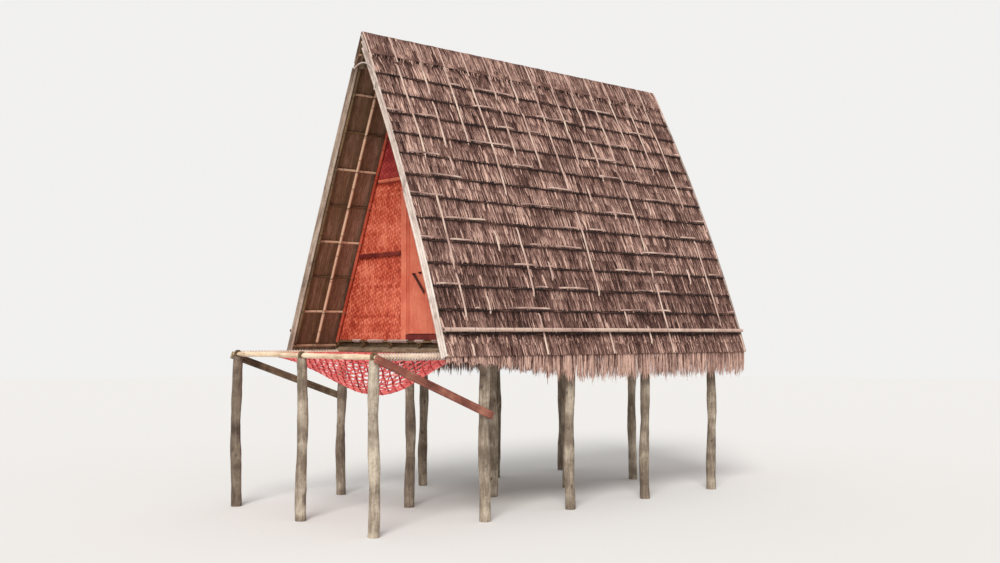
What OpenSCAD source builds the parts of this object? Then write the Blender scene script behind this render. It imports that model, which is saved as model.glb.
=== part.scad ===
// Stilt hut: a bowed A-frame roof of thatch on crooked log posts, a gable wall with a door and a
// rope net deck in front. X runs across the hut, Y from the front to the rear, Z up. The origin is
// in the middle of the ground plan, at the level of the lowest post foot.

/* [Roof] */
// Width of the roof over its two feet
roof_w = 3000; // [2700:10:3400]
// Height of the thatch at the ridge
ridge_z = 5210; // [4900:10:5600]
// Height of the thatch at its feet
foot_z = 1700; // [1600:10:1740]
// Length of the roof from verge to verge
roof_len = 4850; // [4300:10:5400]
// How far the right slope bows out from a straight line
bow_right = 85; // [10:1:120]
// How far the left slope bows out from a straight line
bow_left = 12; // [6:1:120]
// Thickness of the thatch
thatch_t = 42; // [32:1:60]
// Courses of thatch on a slope
courses = 15; // [8:1:18]
// Step at the lower end of a course
course_step = 14; // [6:1:20]
// Length of the hanging thatch near the front
fringe_front = 60; // [30:5:120]
// Length of the hanging thatch past the middle
fringe_mid = 290; // [130:5:330]
// Thickness of the hanging thatch
fringe_t = 24; // [12:1:30]

/* [Roof poles] */
// Diameter of the bamboo battens under the thatch
batten_d = 28; // [20:1:36]
// Battens on a slope
battens = 9; // [7:1:12]
// Diameter of the bamboo rafters
rafter_d = 42; // [30:1:55]
// Spaces between the rafters over the room
rafter_bays = 8; // [6:1:10]
// Diameter of the ridge log
ridge_d = 84; // [60:1:110]
// Width of a split bamboo strip on the outside
strip_w = 30; // [16:1:50]
// Thickness of a split bamboo strip
strip_t = 7; // [4:1:12]
// Strips that run down a slope
strips_down = 15; // [9:1:18]
// First course with a strip along its lower end
first_strip = 2; // [2:1:5]
// Diameter of the eaves poles
eaves_d = 45; // [30:1:60]
// Place of the eaves poles, as a share of the slope from the ridge
eaves_at = 0.93; // [0.86:0.01:0.95]
// Width of the verge boards
verge_w = 103; // [90:1:130]
// Thickness of the verge boards
verge_t = 15; // [8:1:25]
// Upper end of the front left verge board, as a share of the slope from the ridge
verge_start = 0.09; // [0.02:0.01:0.15]
// Outer radius of the bamboo hoop under the ridge
hoop_r = 262; // [220:2:300]
// Width of the bamboo hoop
hoop_w = 16; // [10:1:24]
// Thickness of the bamboo hoop
hoop_t = 12; // [6:1:16]
// Place of the middle of the hoop to the right
hoop_x = 30; // [-20:2:40]
// Drop of the middle of the hoop from the ridge
hoop_drop = 590; // [520:5:660]
// Reach of the hoop to the left, where it ends on the verge board
hoop_left = 115; // [100:1:125]

/* [Floor] */
// Height of the floor
floor_z = 1850; // [1800:5:1900]
// Thickness of the bamboo floor
floor_t = 24; // [16:1:30]
// Diameter of the floor joists
joist_d = 52; // [44:1:60]
// Diameter of the cross beams
beam_d = 110; // [90:1:130]
// Distance of the ends of the cross beams inwards from the foot of the roof
beam_in = 105; // [95:5:115]

/* [Posts] */
// Distance of the outer posts inwards from the foot of the roof
post_in = 180; // [170:5:220]
// Place of the middle posts
post_mid_x = 28; // [-60:1:60]
// Radius of a post at its foot
post_foot_r = 60; // [45:1:70]
// Radius of a post at its head
post_head_r = 54; // [45:1:60]
// How far a post bends from a straight line
post_bend = 16; // [0:1:25]
// Height of the knots on the posts
knot = 5; // [0:1:9]
// Rows of posts under the floor
rows = 4; // [3:1:5]
// Distance of the front row of net posts before the verge
net_reach = 743; // [600:5:900]

/* [Net deck] */
// Height of the middle of the net poles
net_z = 1697; // [1690:1:1705]
// Diameter of the net poles
net_pole_d = 55; // [45:1:65]
// Thickness of the rope net
net_t = 14; // [8:1:20]
// Depth that the net hangs down
net_sag = 410; // [200:5:450]
// How far the deepest place lies to the right
net_shift = 1.6; // [1:0.1:2.2]
// Width of the diagonal braces
brace_w = 80; // [60:1:110]
// Thickness of the diagonal braces
brace_t = 35; // [20:1:50]
// Height of the middle of the braces at the net posts
brace_high = 1672; // [1600:2:1690]
// Drop of the right brace to the front post
brace_drop = 575; // [400:5:700]
// Drop of the left brace to the front post
brace_drop_left = 490; // [400:5:700]

/* [Walls and door] */
// Distance of the front wall from the front verge
wall_y = 630; // [580:5:700]
// Distance of the rear wall from the rear verge
rear_set = 470; // [440:5:560]
// Thickness of the woven wall panels
wall_t = 20; // [12:1:30]
// Height of the middle of the tie pole over the door
tie_z = 3682; // [3500:5:3720]
// Diameter of the tie pole
tie_d = 50; // [40:1:60]
// Left edge of the left door jamb
jamb_x = -83; // [-120:1:-60]
// Width of the left door jamb
jamb_w = 91; // [60:1:100]
// Width of the right door jamb
jamb_right_w = 45; // [30:1:60]
// Depth of the door jambs
jamb_t = 44; // [36:1:56]
// Width of the doorway
door_w = 640; // [560:5:660]
// Height of the threshold
threshold_h = 65; // [40:1:90]
// Thickness of the frame of the door leaf
leaf_t = 20; // [14:1:24]
// Thickness of the sheet on the door leaf
sheet_t = 9; // [6:1:12]
// Width of the rails and the stile of the door leaf
rail_w = 70; // [50:1:90]
// Diameter of the round pivot stile
pivot_d = 40; // [36:1:48]
// Diameter of the pivot pins
pin_d = 20; // [14:1:26]
// Length of the pivot pins
pin_l = 26; // [20:1:32]
// Gap round the door leaf
door_gap = 8; // [6:1:12]
// Height of the batten on the front wall
rail_z = 2832; // [2600:5:3000]
// Height of a wall batten
rail_h = 45; // [30:1:60]
// Thickness of a wall batten
rail_t = 22; // [12:1:24]

/* [Hidden] */

// clearance between two pieces that lie on each other
fit = 0.3;
// how far a cut runs past the face it starts from
over = 10;
// how far two parts of one piece reach into each other
sunk = 1;
LEFT = -1;
RIGHT = 1;
// numbers that give each log its own bends and knots
NET_POSTS = [1, 2, 3];

// Posts. A crooked log is swept along a line that wanders round its axis: bend and knots follow sines
// of the height, and both die out at the two flat ends.
log_sides = 12;
log_rings = 9;
function wander(u, n) = post_bend * sin(180 * u) * [cos(137 * n + 210 * u), sin(137 * n + 210 * u)];
function knot_r(u, n) = knot * sin(180 * u) * sin(360 * (2.3 * u + 0.37 * n) + 40);
function log_ring(h, u, n) =
    let(c = wander(u, n), r = post_foot_r + (post_head_r - post_foot_r) * u + knot_r(u, n))
    [for (j = [0:log_sides - 1])
        [c[0] + r * cos(360 * j / log_sides), c[1] + r * sin(360 * j / log_sides), h * u]];

// Y of a place that is measured from the front verge, where the foremost point is on a net post
front_reach = net_reach + max([for (n = NET_POSTS, k = [0:log_rings]) for (p = log_ring(1, k / log_rings, n)) -p[1]]);
plan_mid = (roof_len + fit + verge_t - front_reach) / 2;
function place(y) = y - plan_mid;

// Each slope is an arc between the ridge and the foot of the roof. s is LEFT or RIGHT, t runs from 0
// at the ridge to 1 at the foot and d is the distance outwards from the face of the thatch.
foot_x = roof_w / 2;
post_x = foot_x - post_in;
beam_reach = foot_x - beam_in;
chord = norm([foot_x, ridge_z - foot_z]);
down = [foot_x, foot_z - ridge_z] / chord;
out = [-down[1], down[0]];
function bow(s) = s == RIGHT ? bow_right : bow_left;
function arc_r(s) = (chord * chord / 4 + bow(s) * bow(s)) / (2 * bow(s));
function arc_mid(s) = [0, ridge_z] + down * chord / 2 - out * (arc_r(s) - bow(s));
function half_turn(s) = asin(chord / 2 / arc_r(s));
function slope_pt(s, t, d) =
    let(c = arc_mid(s), a = (2 * t - 1) * half_turn(s), p = c + (arc_r(s) + d) * (out * cos(a) + down * sin(a)))
    [s * p[0], p[1]];
// distance of a slope from the middle plane at height z
function slope_x(s, z, d) =
    let(c = arc_mid(s)) c[0] + sqrt(pow(arc_r(s) + d, 2) - pow(z - c[1], 2));
// t at which a slope comes down to height z
function low_t(s, z, d) =
    let(a = atan2(out[1], out[0]) - asin((z - arc_mid(s)[1]) / (arc_r(s) + d)))
    (a / half_turn(s) + 1) / 2;
// point where the two slopes, both moved out by d, cross
function crossing(d) =
    let(p = arc_mid(RIGHT), q0 = arc_mid(LEFT), q = [-q0[0], q0[1]], r1 = arc_r(RIGHT) + d, r2 = arc_r(LEFT) + d,
        e = (q - p) / norm(q - p), a = (r1 * r1 - r2 * r2 + pow(norm(q - p), 2)) / (2 * norm(q - p)),
        h = sqrt(r1 * r1 - a * a), u = p + a * e, v = [-e[1], e[0]] * h)
    u[1] + v[1] > u[1] - v[1] ? u + v : u - v;
// t at which a slope ends, just short of the other one
function top_t(s, d) =
    let(c = arc_mid(s), x = s * crossing(d)[0] + fit / 2, a = atan2(out[1], out[0]) - acos((x - c[0]) / (arc_r(s) + d)))
    (a / half_turn(s) + 1) / 2;

// layers of the roof, outwards from the face of the thatch
d_batten = -(thatch_t + fit + batten_d / 2);
d_wall = -(thatch_t + fit + batten_d + fit);
d_rafter = d_wall - rafter_d / 2;
d_inside = d_wall - rafter_d - fit;
d_strip = fit + strip_t;
strip_lay = 2;
d_along = d_strip + strip_lay;
d_eaves = d_along + fit + eaves_d / 2;
d_verge = d_along - verge_w;
ridge_c = crossing(d_inside - ridge_d / 2);

// heights of the floor, from the deck down to the heads of the posts
deck_low = floor_z - floor_t;
joist_z = deck_low - fit - joist_d / 2;
beam_z = joist_z - joist_d / 2 - fit - beam_d / 2;
head_z = beam_z - beam_d / 2 - fit;
net_head_z = net_z - net_pole_d / 2 - fit;

// places along the hut
rear_y = roof_len - rear_set;
first_row = wall_y + wall_t;
last_row = rear_y - wall_t;
deck_lip = 6;
deck_front = first_row - beam_d / 2 - deck_lip;
deck_rear = rear_y + wall_t * 2;
function row_y(i) = first_row + (last_row - first_row) * i / (rows - 1);
rafter_front = wall_y - wall_t / 2 - fit - rafter_d / 2;
rafter_rear = rear_y + wall_t / 2 + fit + rafter_d / 2;
verge_set = 10;
verge_rafter = rafter_d / 2 + verge_set;
rafter_ys = concat([verge_rafter, (verge_rafter + rafter_front) / 2],
                   [for (i = [0:rafter_bays]) rafter_front + (rafter_rear - rafter_front) * i / rafter_bays],
                   [roof_len - (verge_rafter + rafter_front) / 2, roof_len - verge_rafter]);
plate_x = min([for (s = [LEFT, RIGHT]) slope_x(s, deck_low, d_rafter)]) - 2;
plate_top = joist_z + joist_d / 2;

// the doorway and its leaf
tie_low = tie_z - tie_d / 2;
tie_top = tie_z + tie_d / 2;
door_x = jamb_x + jamb_w;
pivot_x = door_x + door_gap + pivot_d / 2;
leaf_end = door_x + door_w - door_gap;
leaf_low = floor_z + fit + threshold_h + door_gap;
leaf_top = tie_low - door_gap;
leaf_y = wall_y - leaf_t / 2;
bore_d = pin_d + 2 * fit;

module along_y(y0, y1) {
    translate([0, place(y1), 0])
        rotate([90, 0, 0])
            linear_extrude(y1 - y0)
                children();
}

module pole_y(x, z, d, y0, y1) {
    translate([x, place(y0), z])
        rotate([-90, 0, 0])
            cylinder(h = y1 - y0, d = d, $fn = 24);
}

module pole_x(y, z, d, x0, x1) {
    translate([x0, place(y), z])
        rotate([0, 90, 0])
            cylinder(h = x1 - x0, d = d, $fn = 24);
}

// band between two distances from a slope, cut plumb at the ridge where t0 is below 0
module band(s, d0, d1, t0, t1, steps) {
    outer0 = t0 < 0 ? top_t(s, d1) : t0;
    inner0 = t0 < 0 ? top_t(s, d0) : t0;
    polygon(concat([for (i = [0:steps]) slope_pt(s, outer0 + (t1 - outer0) * i / steps, d1)],
                   [for (i = [steps:-1:0]) slope_pt(s, inner0 + (t1 - inner0) * i / steps, d0)]));
}

// faces of a swept pole, ring after ring, with its two ends
function tube_faces(rings, sides) = concat(
    [for (k = [0:rings - 1], j = [0:sides - 1])
        let(a = k * sides + j, b = k * sides + (j + 1) % sides) [a, a + sides, b + sides, b]],
    [[for (j = [0:sides - 1]) j], [for (j = [sides - 1:-1:0]) rings * sides + j]]);

// A post stands on the ground at x and y and is h high. n gives it its own bends and knots.
module crooked_log(x, y, h, n) {
    points = [for (k = [0:log_rings]) each log_ring(h, k / log_rings, n)];
    translate([x, place(y), 0])
        polyhedron(points, tube_faces(log_rings, log_sides), convexity = 4);
}

module net_post(x, n) {
    color([0.66, 0.6, 0.5])
        crooked_log(x, -net_reach, net_head_z, n);
}

module row_post(row, x, n) {
    color([0.6, 0.55, 0.47])
        crooked_log(x, row_y(row), head_z, n);
}

// Floor. Log beams on the posts carry bamboo joists, and these carry the deck. The outermost joist
// on each side is the plate under the rafters.
module cross_beam(row) {
    color([0.55, 0.48, 0.4])
        pole_x(row_y(row), beam_z, beam_d, -beam_reach, beam_reach);
}

module floor_joists() {
    spaces = 5;
    color([0.62, 0.52, 0.38])
        for (i = [0:spaces])
            pole_y(-plate_x + 2 * plate_x * i / spaces, joist_z, joist_d, deck_front, deck_rear);
}

module floor_deck() {
    half = min([for (s = [LEFT, RIGHT]) slope_x(s, floor_z, d_inside)]);
    color([0.5, 0.4, 0.28])
        translate([-half, place(deck_front), deck_low])
            cube([2 * half, deck_rear - deck_front, floor_t]);
}

// Net deck. The front pole and the two rails hold a rope net that hangs in a dish.
net_x = post_x - net_pole_d / 2 - fit;
net_front = -net_reach + net_pole_d / 2 + fit;
net_back = first_row - beam_d / 2 - fit;

module net_front_pole() {
    color([0.9, 0.8, 0.66])
        pole_x(-net_reach, net_z, net_pole_d, -post_x - post_head_r, post_x + post_head_r);
}

module net_rail(s) {
    color([0.85, 0.74, 0.6])
        pole_y(s * post_x, net_z, net_pole_d, net_front, net_back);
}

net_nx = 14;
net_ny = 12;
function net_low(u, v) = net_sag * sin(180 * pow(u, net_shift)) * pow(sin(180 * v), 1.5);
function net_pt(i, j, lift) =
    let(u = i / net_nx, v = j / net_ny)
    [-net_x + 2 * net_x * u, place(net_front + (net_back - net_front) * v), net_z - net_low(u, v) + lift];

module net_deck() {
    row = net_nx + 1;
    count = row * (net_ny + 1);
    points = concat([for (j = [0:net_ny], i = [0:net_nx]) net_pt(i, j, net_t / 2)],
                    [for (j = [0:net_ny], i = [0:net_nx]) net_pt(i, j, -net_t / 2)]);
    cells = [for (j = [0:net_ny - 1], i = [0:net_nx - 1]) j * row + i];
    top = [for (a = cells) each [[a, a + row, a + row + 1], [a, a + row + 1, a + 1]]];
    low = [for (a = cells) each [[a + count, a + row + 1 + count, a + row + count],
                                 [a + count, a + 1 + count, a + row + 1 + count]]];
    front_rim = [for (i = [0:net_nx - 1]) [i, i + 1, i + 1 + count, i + count]];
    back_rim = [for (i = [0:net_nx - 1]) let(a = net_ny * row + i) [a + 1, a, a + count, a + 1 + count]];
    left_rim = [for (j = [0:net_ny - 1]) let(a = j * row) [a + row, a, a + count, a + row + count]];
    right_rim = [for (j = [0:net_ny - 1]) let(a = j * row + net_nx) [a, a + row, a + row + count, a + count]];
    color([0.82, 0.28, 0.3])
        polyhedron(points, concat(top, low, front_rim, back_rim, left_rim, right_rim), convexity = 6);
}

// A brace runs down from the head of a corner post to the front post, on the outer face of both.
// post_side is the reach of a log on side s over the height that the brace covers.
function post_side(s, n, z, h) =
    max([for (lift = [-3:3]) let(u = min(1, (z + lift * brace_w / 4) / h))
        s * wander(u, n)[0] + post_foot_r + (post_head_r - post_foot_r) * u + knot_r(u, n)]);

module brace(s, drop, net_n, front_n) {
    run = net_reach + first_row;
    near_x = post_x + fit + post_side(s, net_n, brace_high, net_head_z);
    far_x = post_x + fit + post_side(s, front_n, brace_high - drop, head_z);
    slant = norm([run, drop]);
    color([0.52, 0.3, 0.24])
        translate([s * near_x, place(-net_reach), brace_high])
            rotate([0, 0, -s * atan2(far_x - near_x, run)])
                rotate([-atan2(drop, run), 0, 0])
                    translate([s == RIGHT ? 0 : -brace_t, -brace_w / 2, -brace_w / 2])
                        cube([brace_t, slant + brace_w, brace_w]);
}

// Walls. The panels lie inside the battens of the roof, between the pairs of rafters.
function edge(s, z0, z1, d = d_wall) =
    [for (i = [0:6]) let(z = z0 + (z1 - z0) * i / 6) [s * slope_x(s, z, d), z]];
wall_front = wall_y - wall_t / 2;
wall_back = wall_y + wall_t / 2;
panel_low = floor_z + fit;
panel_top = tie_low - fit;

module front_wall_left() {
    side = jamb_x - fit;
    color([0.8, 0.36, 0.24]) {
        along_y(wall_front, wall_back)
            polygon(concat(edge(LEFT, panel_low, panel_top), [[side, panel_top], [side, panel_low]]));
        along_y(wall_front - rail_t, wall_front)
            polygon([[-slope_x(LEFT, rail_z - rail_h / 2, d_inside), rail_z - rail_h / 2],
                     [-slope_x(LEFT, rail_z + rail_h / 2, d_inside), rail_z + rail_h / 2],
                     [side, rail_z + rail_h / 2], [side, rail_z - rail_h / 2]]);
    }
}

module front_wall_right() {
    side = door_x + door_w + jamb_right_w + fit;
    c = arc_mid(RIGHT);
    meet_z = c[1] + sqrt(pow(arc_r(RIGHT) + d_wall, 2) - pow(side - c[0], 2));
    color([0.78, 0.36, 0.26])
        along_y(wall_front, wall_back)
            polygon(concat([[side, panel_low]], edge(RIGHT, panel_low, min(meet_z, panel_top)),
                           meet_z > panel_top ? [[side, panel_top]] : []));
}

module gable(y0, y1, low) {
    peak = crossing(d_wall)[1];
    difference() {
        along_y(y0, y1)
            polygon(concat(edge(LEFT, low, peak), [for (i = [6:-1:0]) edge(RIGHT, low, peak)[i]]));
        pole_y(ridge_c[0], ridge_c[1], ridge_d + 2 * fit, y0 - over, y1 + over);
    }
}

module front_gable() {
    color([0.6, 0.18, 0.17])
        gable(wall_front, wall_back, tie_top + fit);
}

module tie_bores() {
    translate([pivot_x, place(wall_y), tie_low - over])
        cylinder(h = over + pin_l - door_gap + fit, d = bore_d, $fn = 24);
}

module front_tie_pole() {
    half_left = slope_x(LEFT, tie_top, d_inside);
    half_right = slope_x(RIGHT, tie_top, d_inside);
    color([0.8, 0.38, 0.3])
        difference() {
            pole_x(wall_y, tie_z, tie_d, -half_left, half_right);
            tie_bores();
        }
}

// part of a jamb that is deep in Y and ends at distance d from the right slope
module jamb_part(x0, x1, deep, d) {
    along_y(wall_y - deep / 2, wall_y + deep / 2)
        intersection() {
            translate([x0, panel_low])
                square([x1 - x0, panel_top - panel_low]);
            polygon(concat([[-foot_x, panel_low]], edge(RIGHT, panel_low, tie_top, d), [[-foot_x, tie_top]]));
        }
}

// The jambs are deeper than the wall and are notched where a rafter passes.
module jamb(x0, x1) {
    color([0.86, 0.42, 0.28]) {
        jamb_part(x0, x1, jamb_t, d_inside);
        jamb_part(x0, x1, wall_t, d_wall);
    }
}

module door_jamb_left() {
    jamb(jamb_x, door_x);
}

module door_jamb_right() {
    jamb(door_x + door_w, door_x + door_w + jamb_right_w);
}

module threshold() {
    color([0.45, 0.16, 0.13])
        difference() {
            translate([door_x + fit, place(wall_y - jamb_t / 2), floor_z + fit])
                cube([door_w - 2 * fit, jamb_t, threshold_h]);
            translate([pivot_x, place(wall_y), leaf_low - pin_l - fit])
                cylinder(h = pin_l + over, d = bore_d, $fn = 24);
        }
}

// The leaf turns on a round stile whose two pins sit in the threshold and in the tie pole.
module door_leaf() {
    frame_x = pivot_x;
    frame_w = leaf_end - frame_x;
    frame_h = leaf_top - leaf_low;
    sheet_x = pivot_x + pivot_d / 2 - sunk;
    color([0.85, 0.44, 0.34]) {
        translate([pivot_x, place(wall_y), leaf_low])
            cylinder(h = frame_h, d = pivot_d, $fn = 32);
        translate([pivot_x, place(wall_y), leaf_low - pin_l])
            cylinder(h = frame_h + 2 * pin_l, d = pin_d, $fn = 24);
        difference() {
            translate([frame_x, place(leaf_y), leaf_low])
                cube([frame_w, leaf_t, frame_h]);
            for (i = [0:1])
                translate([frame_x + rail_w, place(leaf_y) - over, leaf_low + rail_w + i * (frame_h - rail_w) / 2])
                    cube([frame_w - 2 * rail_w, leaf_t + 2 * over, (frame_h - 3 * rail_w) / 2]);
        }
        translate([sheet_x, place(leaf_y - sheet_t), leaf_low])
            cube([leaf_end - sheet_x, sheet_t + sunk, frame_h]);
    }
}

// A wooden turn bar hangs aslant on its peg, beside a second peg.
module door_latch() {
    peg_x = pivot_x + 138;
    peg_z = rail_z - 250;
    peg_d = 24;
    peg_l = 34;
    catch_x = 112;
    catch_z = 11;
    bar_l = 280;
    bar_w = 26;
    bar_t = 14;
    bar_slant = 48;
    face_y = leaf_y - sheet_t - fit;
    color([0.3, 0.1, 0.08]) {
        for (p = [[0, 0], [catch_x, catch_z]])
            translate([peg_x + p[0], place(face_y), peg_z + p[1]])
                rotate([90, 0, 0])
                    cylinder(h = peg_l, d = peg_d, $fn = 24);
        translate([peg_x, place(face_y), peg_z])
            rotate([0, bar_slant, 0])
                translate([0, -bar_t - peg_l / 4, -bar_w / 2])
                    cube([bar_l, bar_t, bar_w]);
    }
}

module rear_wall() {
    color([0.7, 0.34, 0.24]) {
        gable(rear_y - wall_t / 2, rear_y + wall_t / 2, panel_low);
        for (z = [rail_z, tie_z])
            along_y(rear_y + wall_t / 2 - sunk, rear_y + wall_t / 2 + rail_t)
                polygon([for (s = [LEFT, RIGHT], h = [-s, s])
                    [s * slope_x(s, z + h * rail_h / 2, d_inside), z + h * rail_h / 2]]);
    }
}

// Roof. Rafters stand on the outer joists and lean on each other over the ridge log. The battens lie
// on the rafters and carry the thatch.
rafter_sides = 10;
rafter_rings = 8;
function rafter_pt(s, y, k, j) =
    let(d = d_rafter + rafter_d / 2 * sin(360 * j / rafter_sides), t0 = top_t(s, d),
        p = slope_pt(s, t0 + (low_t(s, plate_top + fit, d) - t0) * k / rafter_rings, d))
    [s * p[0], place(y + rafter_d / 2 * cos(360 * j / rafter_sides)), p[1]];

module rafter(s, y) {
    points = [for (k = [0:rafter_rings], j = [0:rafter_sides - 1]) rafter_pt(s, y, k, j)];
    polyhedron(points, tube_faces(rafter_rings, rafter_sides), convexity = 4);
}

module roof_frame(s) {
    first_t = 0.06;
    last_t = 0.97;
    color([0.55, 0.43, 0.3]) {
        for (y = rafter_ys)
            if (s == LEFT)
                mirror([1, 0, 0])
                    rafter(s, y);
            else
                rafter(s, y);
        for (i = [0:battens - 1]) {
            p = slope_pt(s, first_t + (last_t - first_t) * i / (battens - 1), d_batten);
            pole_y(p[0], p[1], batten_d, 0, roof_len);
        }
    }
}

module ridge_pole() {
    color([0.5, 0.42, 0.34])
        pole_y(ridge_c[0], ridge_c[1], ridge_d, 0, roof_len);
}

// The thatch lies in lapped courses, each thicker at its lower end, and hangs over the eaves.
fringe_full = 2100;
function fringe_len(y) =
    let(k = min(1, y / fringe_full), wave = sin(y * 2.9) * sin(y * 0.83))
    fringe_front + (fringe_mid - fringe_front) * k * k * (3 - 2 * k) + fringe_front / 2 * wave;

module thatch(s) {
    steps = 24;
    first = top_t(s, 0);
    inner0 = top_t(s, -thatch_t);
    course = (1 - first) / courses;
    hang = slope_pt(s, 1, -thatch_t);
    fringe_steps = 48;
    color([0.5, 0.39, 0.34]) {
        along_y(0, roof_len)
            polygon(concat([slope_pt(s, first, 0)],
                [for (i = [0:courses - 1]) each concat(
                    i == 0 ? [] : [slope_pt(s, first + course * i, -course_step)],
                    [slope_pt(s, first + course * (i + 1), 0)])],
                [for (i = [steps:-1:0]) slope_pt(s, inner0 + (1 - inner0) * i / steps, -thatch_t)]));
        translate([hang[0] + (s == RIGHT ? 0 : -fringe_t), 0, 0])
            rotate([90, 0, 90])
                linear_extrude(fringe_t)
                    polygon(concat([[place(roof_len), hang[1] - fit], [place(0), hang[1] - fit]],
                        [for (i = [0:fringe_steps]) let(y = roof_len * i / fringe_steps)
                            [place(y), hang[1] - fit - fringe_len(y)]]));
    }
}

// Split bamboo strips hold the thatch down, with a heavier pole along the eaves. The strips along the
// hut lie on the lower ends of the courses.
module roof_lattice(s) {
    space = (roof_len - strip_w) / (strips_down - 1);
    first = top_t(s, 0);
    course = (1 - first) / courses;
    pole = slope_pt(s, eaves_at, d_eaves);
    color([0.74, 0.64, 0.56]) {
        for (i = [0:strips_down - 1])
            along_y(i * space, i * space + strip_w)
                band(s, fit, d_strip, -1, 1, courses);
        for (i = [first_strip:courses - 2]) {
            t = first + course * i;
            along_y(0, roof_len)
                band(s, fit + strip_lay, d_along, t - strip_w / chord, t, 1);
        }
        pole_y(pole[0], pole[1], eaves_d, 0, roof_len);
    }
}

module ridge_cap() {
    reach = 0.07;
    d0 = d_strip + fit;
    d1 = d0 + strip_t;
    ts = [reach, reach / 2];
    color([0.62, 0.53, 0.47])
        along_y(0, roof_len)
            polygon(concat([for (t = ts) slope_pt(LEFT, t, d1)], [crossing(d1)],
                           [for (t = [ts[1], ts[0]]) slope_pt(RIGHT, t, d1)],
                           [for (t = ts) slope_pt(RIGHT, t, d0)], [crossing(d0)],
                           [for (t = [ts[1], ts[0]]) slope_pt(LEFT, t, d0)]));
}

// The upper end of the front left board is gone.
module verge_boards(s) {
    color(s == RIGHT ? [0.82, 0.75, 0.7] : [0.55, 0.48, 0.42])
        for (y = [-fit - verge_t, roof_len + fit])
            along_y(y, y + verge_t)
                band(s, d_verge, d_along, s == LEFT && y < 0 ? verge_start : -1, 1, 12);
}

// A bent strip crosses the gable under the ridge, with its ends on the verge boards. The left end is
// cut off plumb.
module gable_hoop() {
    mid_z = ridge_z - hoop_drop;
    front = -verge_t - 2 * fit;
    ends_drop = 80;
    color([0.86, 0.8, 0.68])
        along_y(front - hoop_t, front)
            translate([hoop_x, mid_z])
                difference() {
                    circle(r = hoop_r, $fn = 96);
                    circle(r = hoop_r - hoop_w, $fn = 96);
                    translate([-2 * hoop_r, -2 * hoop_r - ends_drop])
                        square([4 * hoop_r, 2 * hoop_r]);
                    translate([-2 * hoop_r - hoop_left - hoop_x, -2 * hoop_r])
                        square([2 * hoop_r, 4 * hoop_r]);
                }
}

net_post(-post_x, 1);  // net_post_left
net_post(post_mid_x, 2);  // net_post_middle
net_post(post_x, 3);  // net_post_right
row_post(0, -post_x, 4);  // front_post_left
row_post(0, post_mid_x, 5);  // front_post_middle
row_post(0, post_x, 6);  // front_post_right
row_post(1, -post_x, 7);  // second_post_left
row_post(1, post_mid_x, 8);  // second_post_middle
row_post(1, post_x, 9);  // second_post_right
row_post(2, -post_x, 10);  // third_post_left
row_post(2, post_mid_x, 11);  // third_post_middle
row_post(2, post_x, 12);  // third_post_right
row_post(3, -post_x, 13);  // rear_post_left
row_post(3, post_mid_x, 14);  // rear_post_middle
row_post(3, post_x, 15);  // rear_post_right
cross_beam(0);  // front_beam
cross_beam(1);  // second_beam
cross_beam(2);  // third_beam
cross_beam(3);  // rear_beam
floor_joists();
floor_deck();
net_front_pole();
net_rail(LEFT);  // net_rail_left
net_rail(RIGHT);  // net_rail_right
net_deck();
brace(LEFT, brace_drop_left, 1, 4);  // brace_left
brace(RIGHT, brace_drop, 3, 6);  // brace_right
front_wall_left();
front_wall_right();
front_gable();
front_tie_pole();
door_jamb_left();
door_jamb_right();
threshold();
door_leaf();
door_latch();
rear_wall();
ridge_pole();
roof_frame(LEFT);  // roof_frame_left
roof_frame(RIGHT);  // roof_frame_right
thatch(LEFT);  // thatch_left
thatch(RIGHT);  // thatch_right
roof_lattice(LEFT);  // roof_lattice_left
roof_lattice(RIGHT);  // roof_lattice_right
ridge_cap();
verge_boards(LEFT);  // verge_boards_left
verge_boards(RIGHT);  // verge_boards_right
gable_hoop();
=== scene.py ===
import math

import bpy
import numpy as np
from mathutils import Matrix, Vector

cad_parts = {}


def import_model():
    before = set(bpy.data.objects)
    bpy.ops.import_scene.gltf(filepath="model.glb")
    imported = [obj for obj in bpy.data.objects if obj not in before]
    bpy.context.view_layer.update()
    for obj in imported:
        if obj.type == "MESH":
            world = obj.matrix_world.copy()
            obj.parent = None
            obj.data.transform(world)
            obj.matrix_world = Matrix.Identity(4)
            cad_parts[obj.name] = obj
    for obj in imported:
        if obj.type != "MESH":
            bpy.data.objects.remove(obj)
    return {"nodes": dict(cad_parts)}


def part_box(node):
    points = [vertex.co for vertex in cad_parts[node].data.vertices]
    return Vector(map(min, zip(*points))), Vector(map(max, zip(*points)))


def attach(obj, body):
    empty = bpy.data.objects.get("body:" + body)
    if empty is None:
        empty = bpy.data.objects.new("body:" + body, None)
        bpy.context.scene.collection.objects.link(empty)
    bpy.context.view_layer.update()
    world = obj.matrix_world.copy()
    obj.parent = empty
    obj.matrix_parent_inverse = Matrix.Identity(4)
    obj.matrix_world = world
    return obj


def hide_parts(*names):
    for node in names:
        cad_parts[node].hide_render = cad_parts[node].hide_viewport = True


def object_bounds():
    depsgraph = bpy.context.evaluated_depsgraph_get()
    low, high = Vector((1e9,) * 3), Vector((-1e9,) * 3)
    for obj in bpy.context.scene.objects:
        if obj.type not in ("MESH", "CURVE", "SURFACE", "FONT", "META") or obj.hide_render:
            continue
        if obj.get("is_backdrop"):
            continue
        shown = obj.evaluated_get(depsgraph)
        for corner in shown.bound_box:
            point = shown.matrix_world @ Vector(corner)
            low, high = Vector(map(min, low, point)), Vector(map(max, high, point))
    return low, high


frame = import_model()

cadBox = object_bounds()
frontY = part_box("ridge_pole")[0].y   # lengths along the hut are counted from here, the front verge
tau = 2 * math.pi

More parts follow.
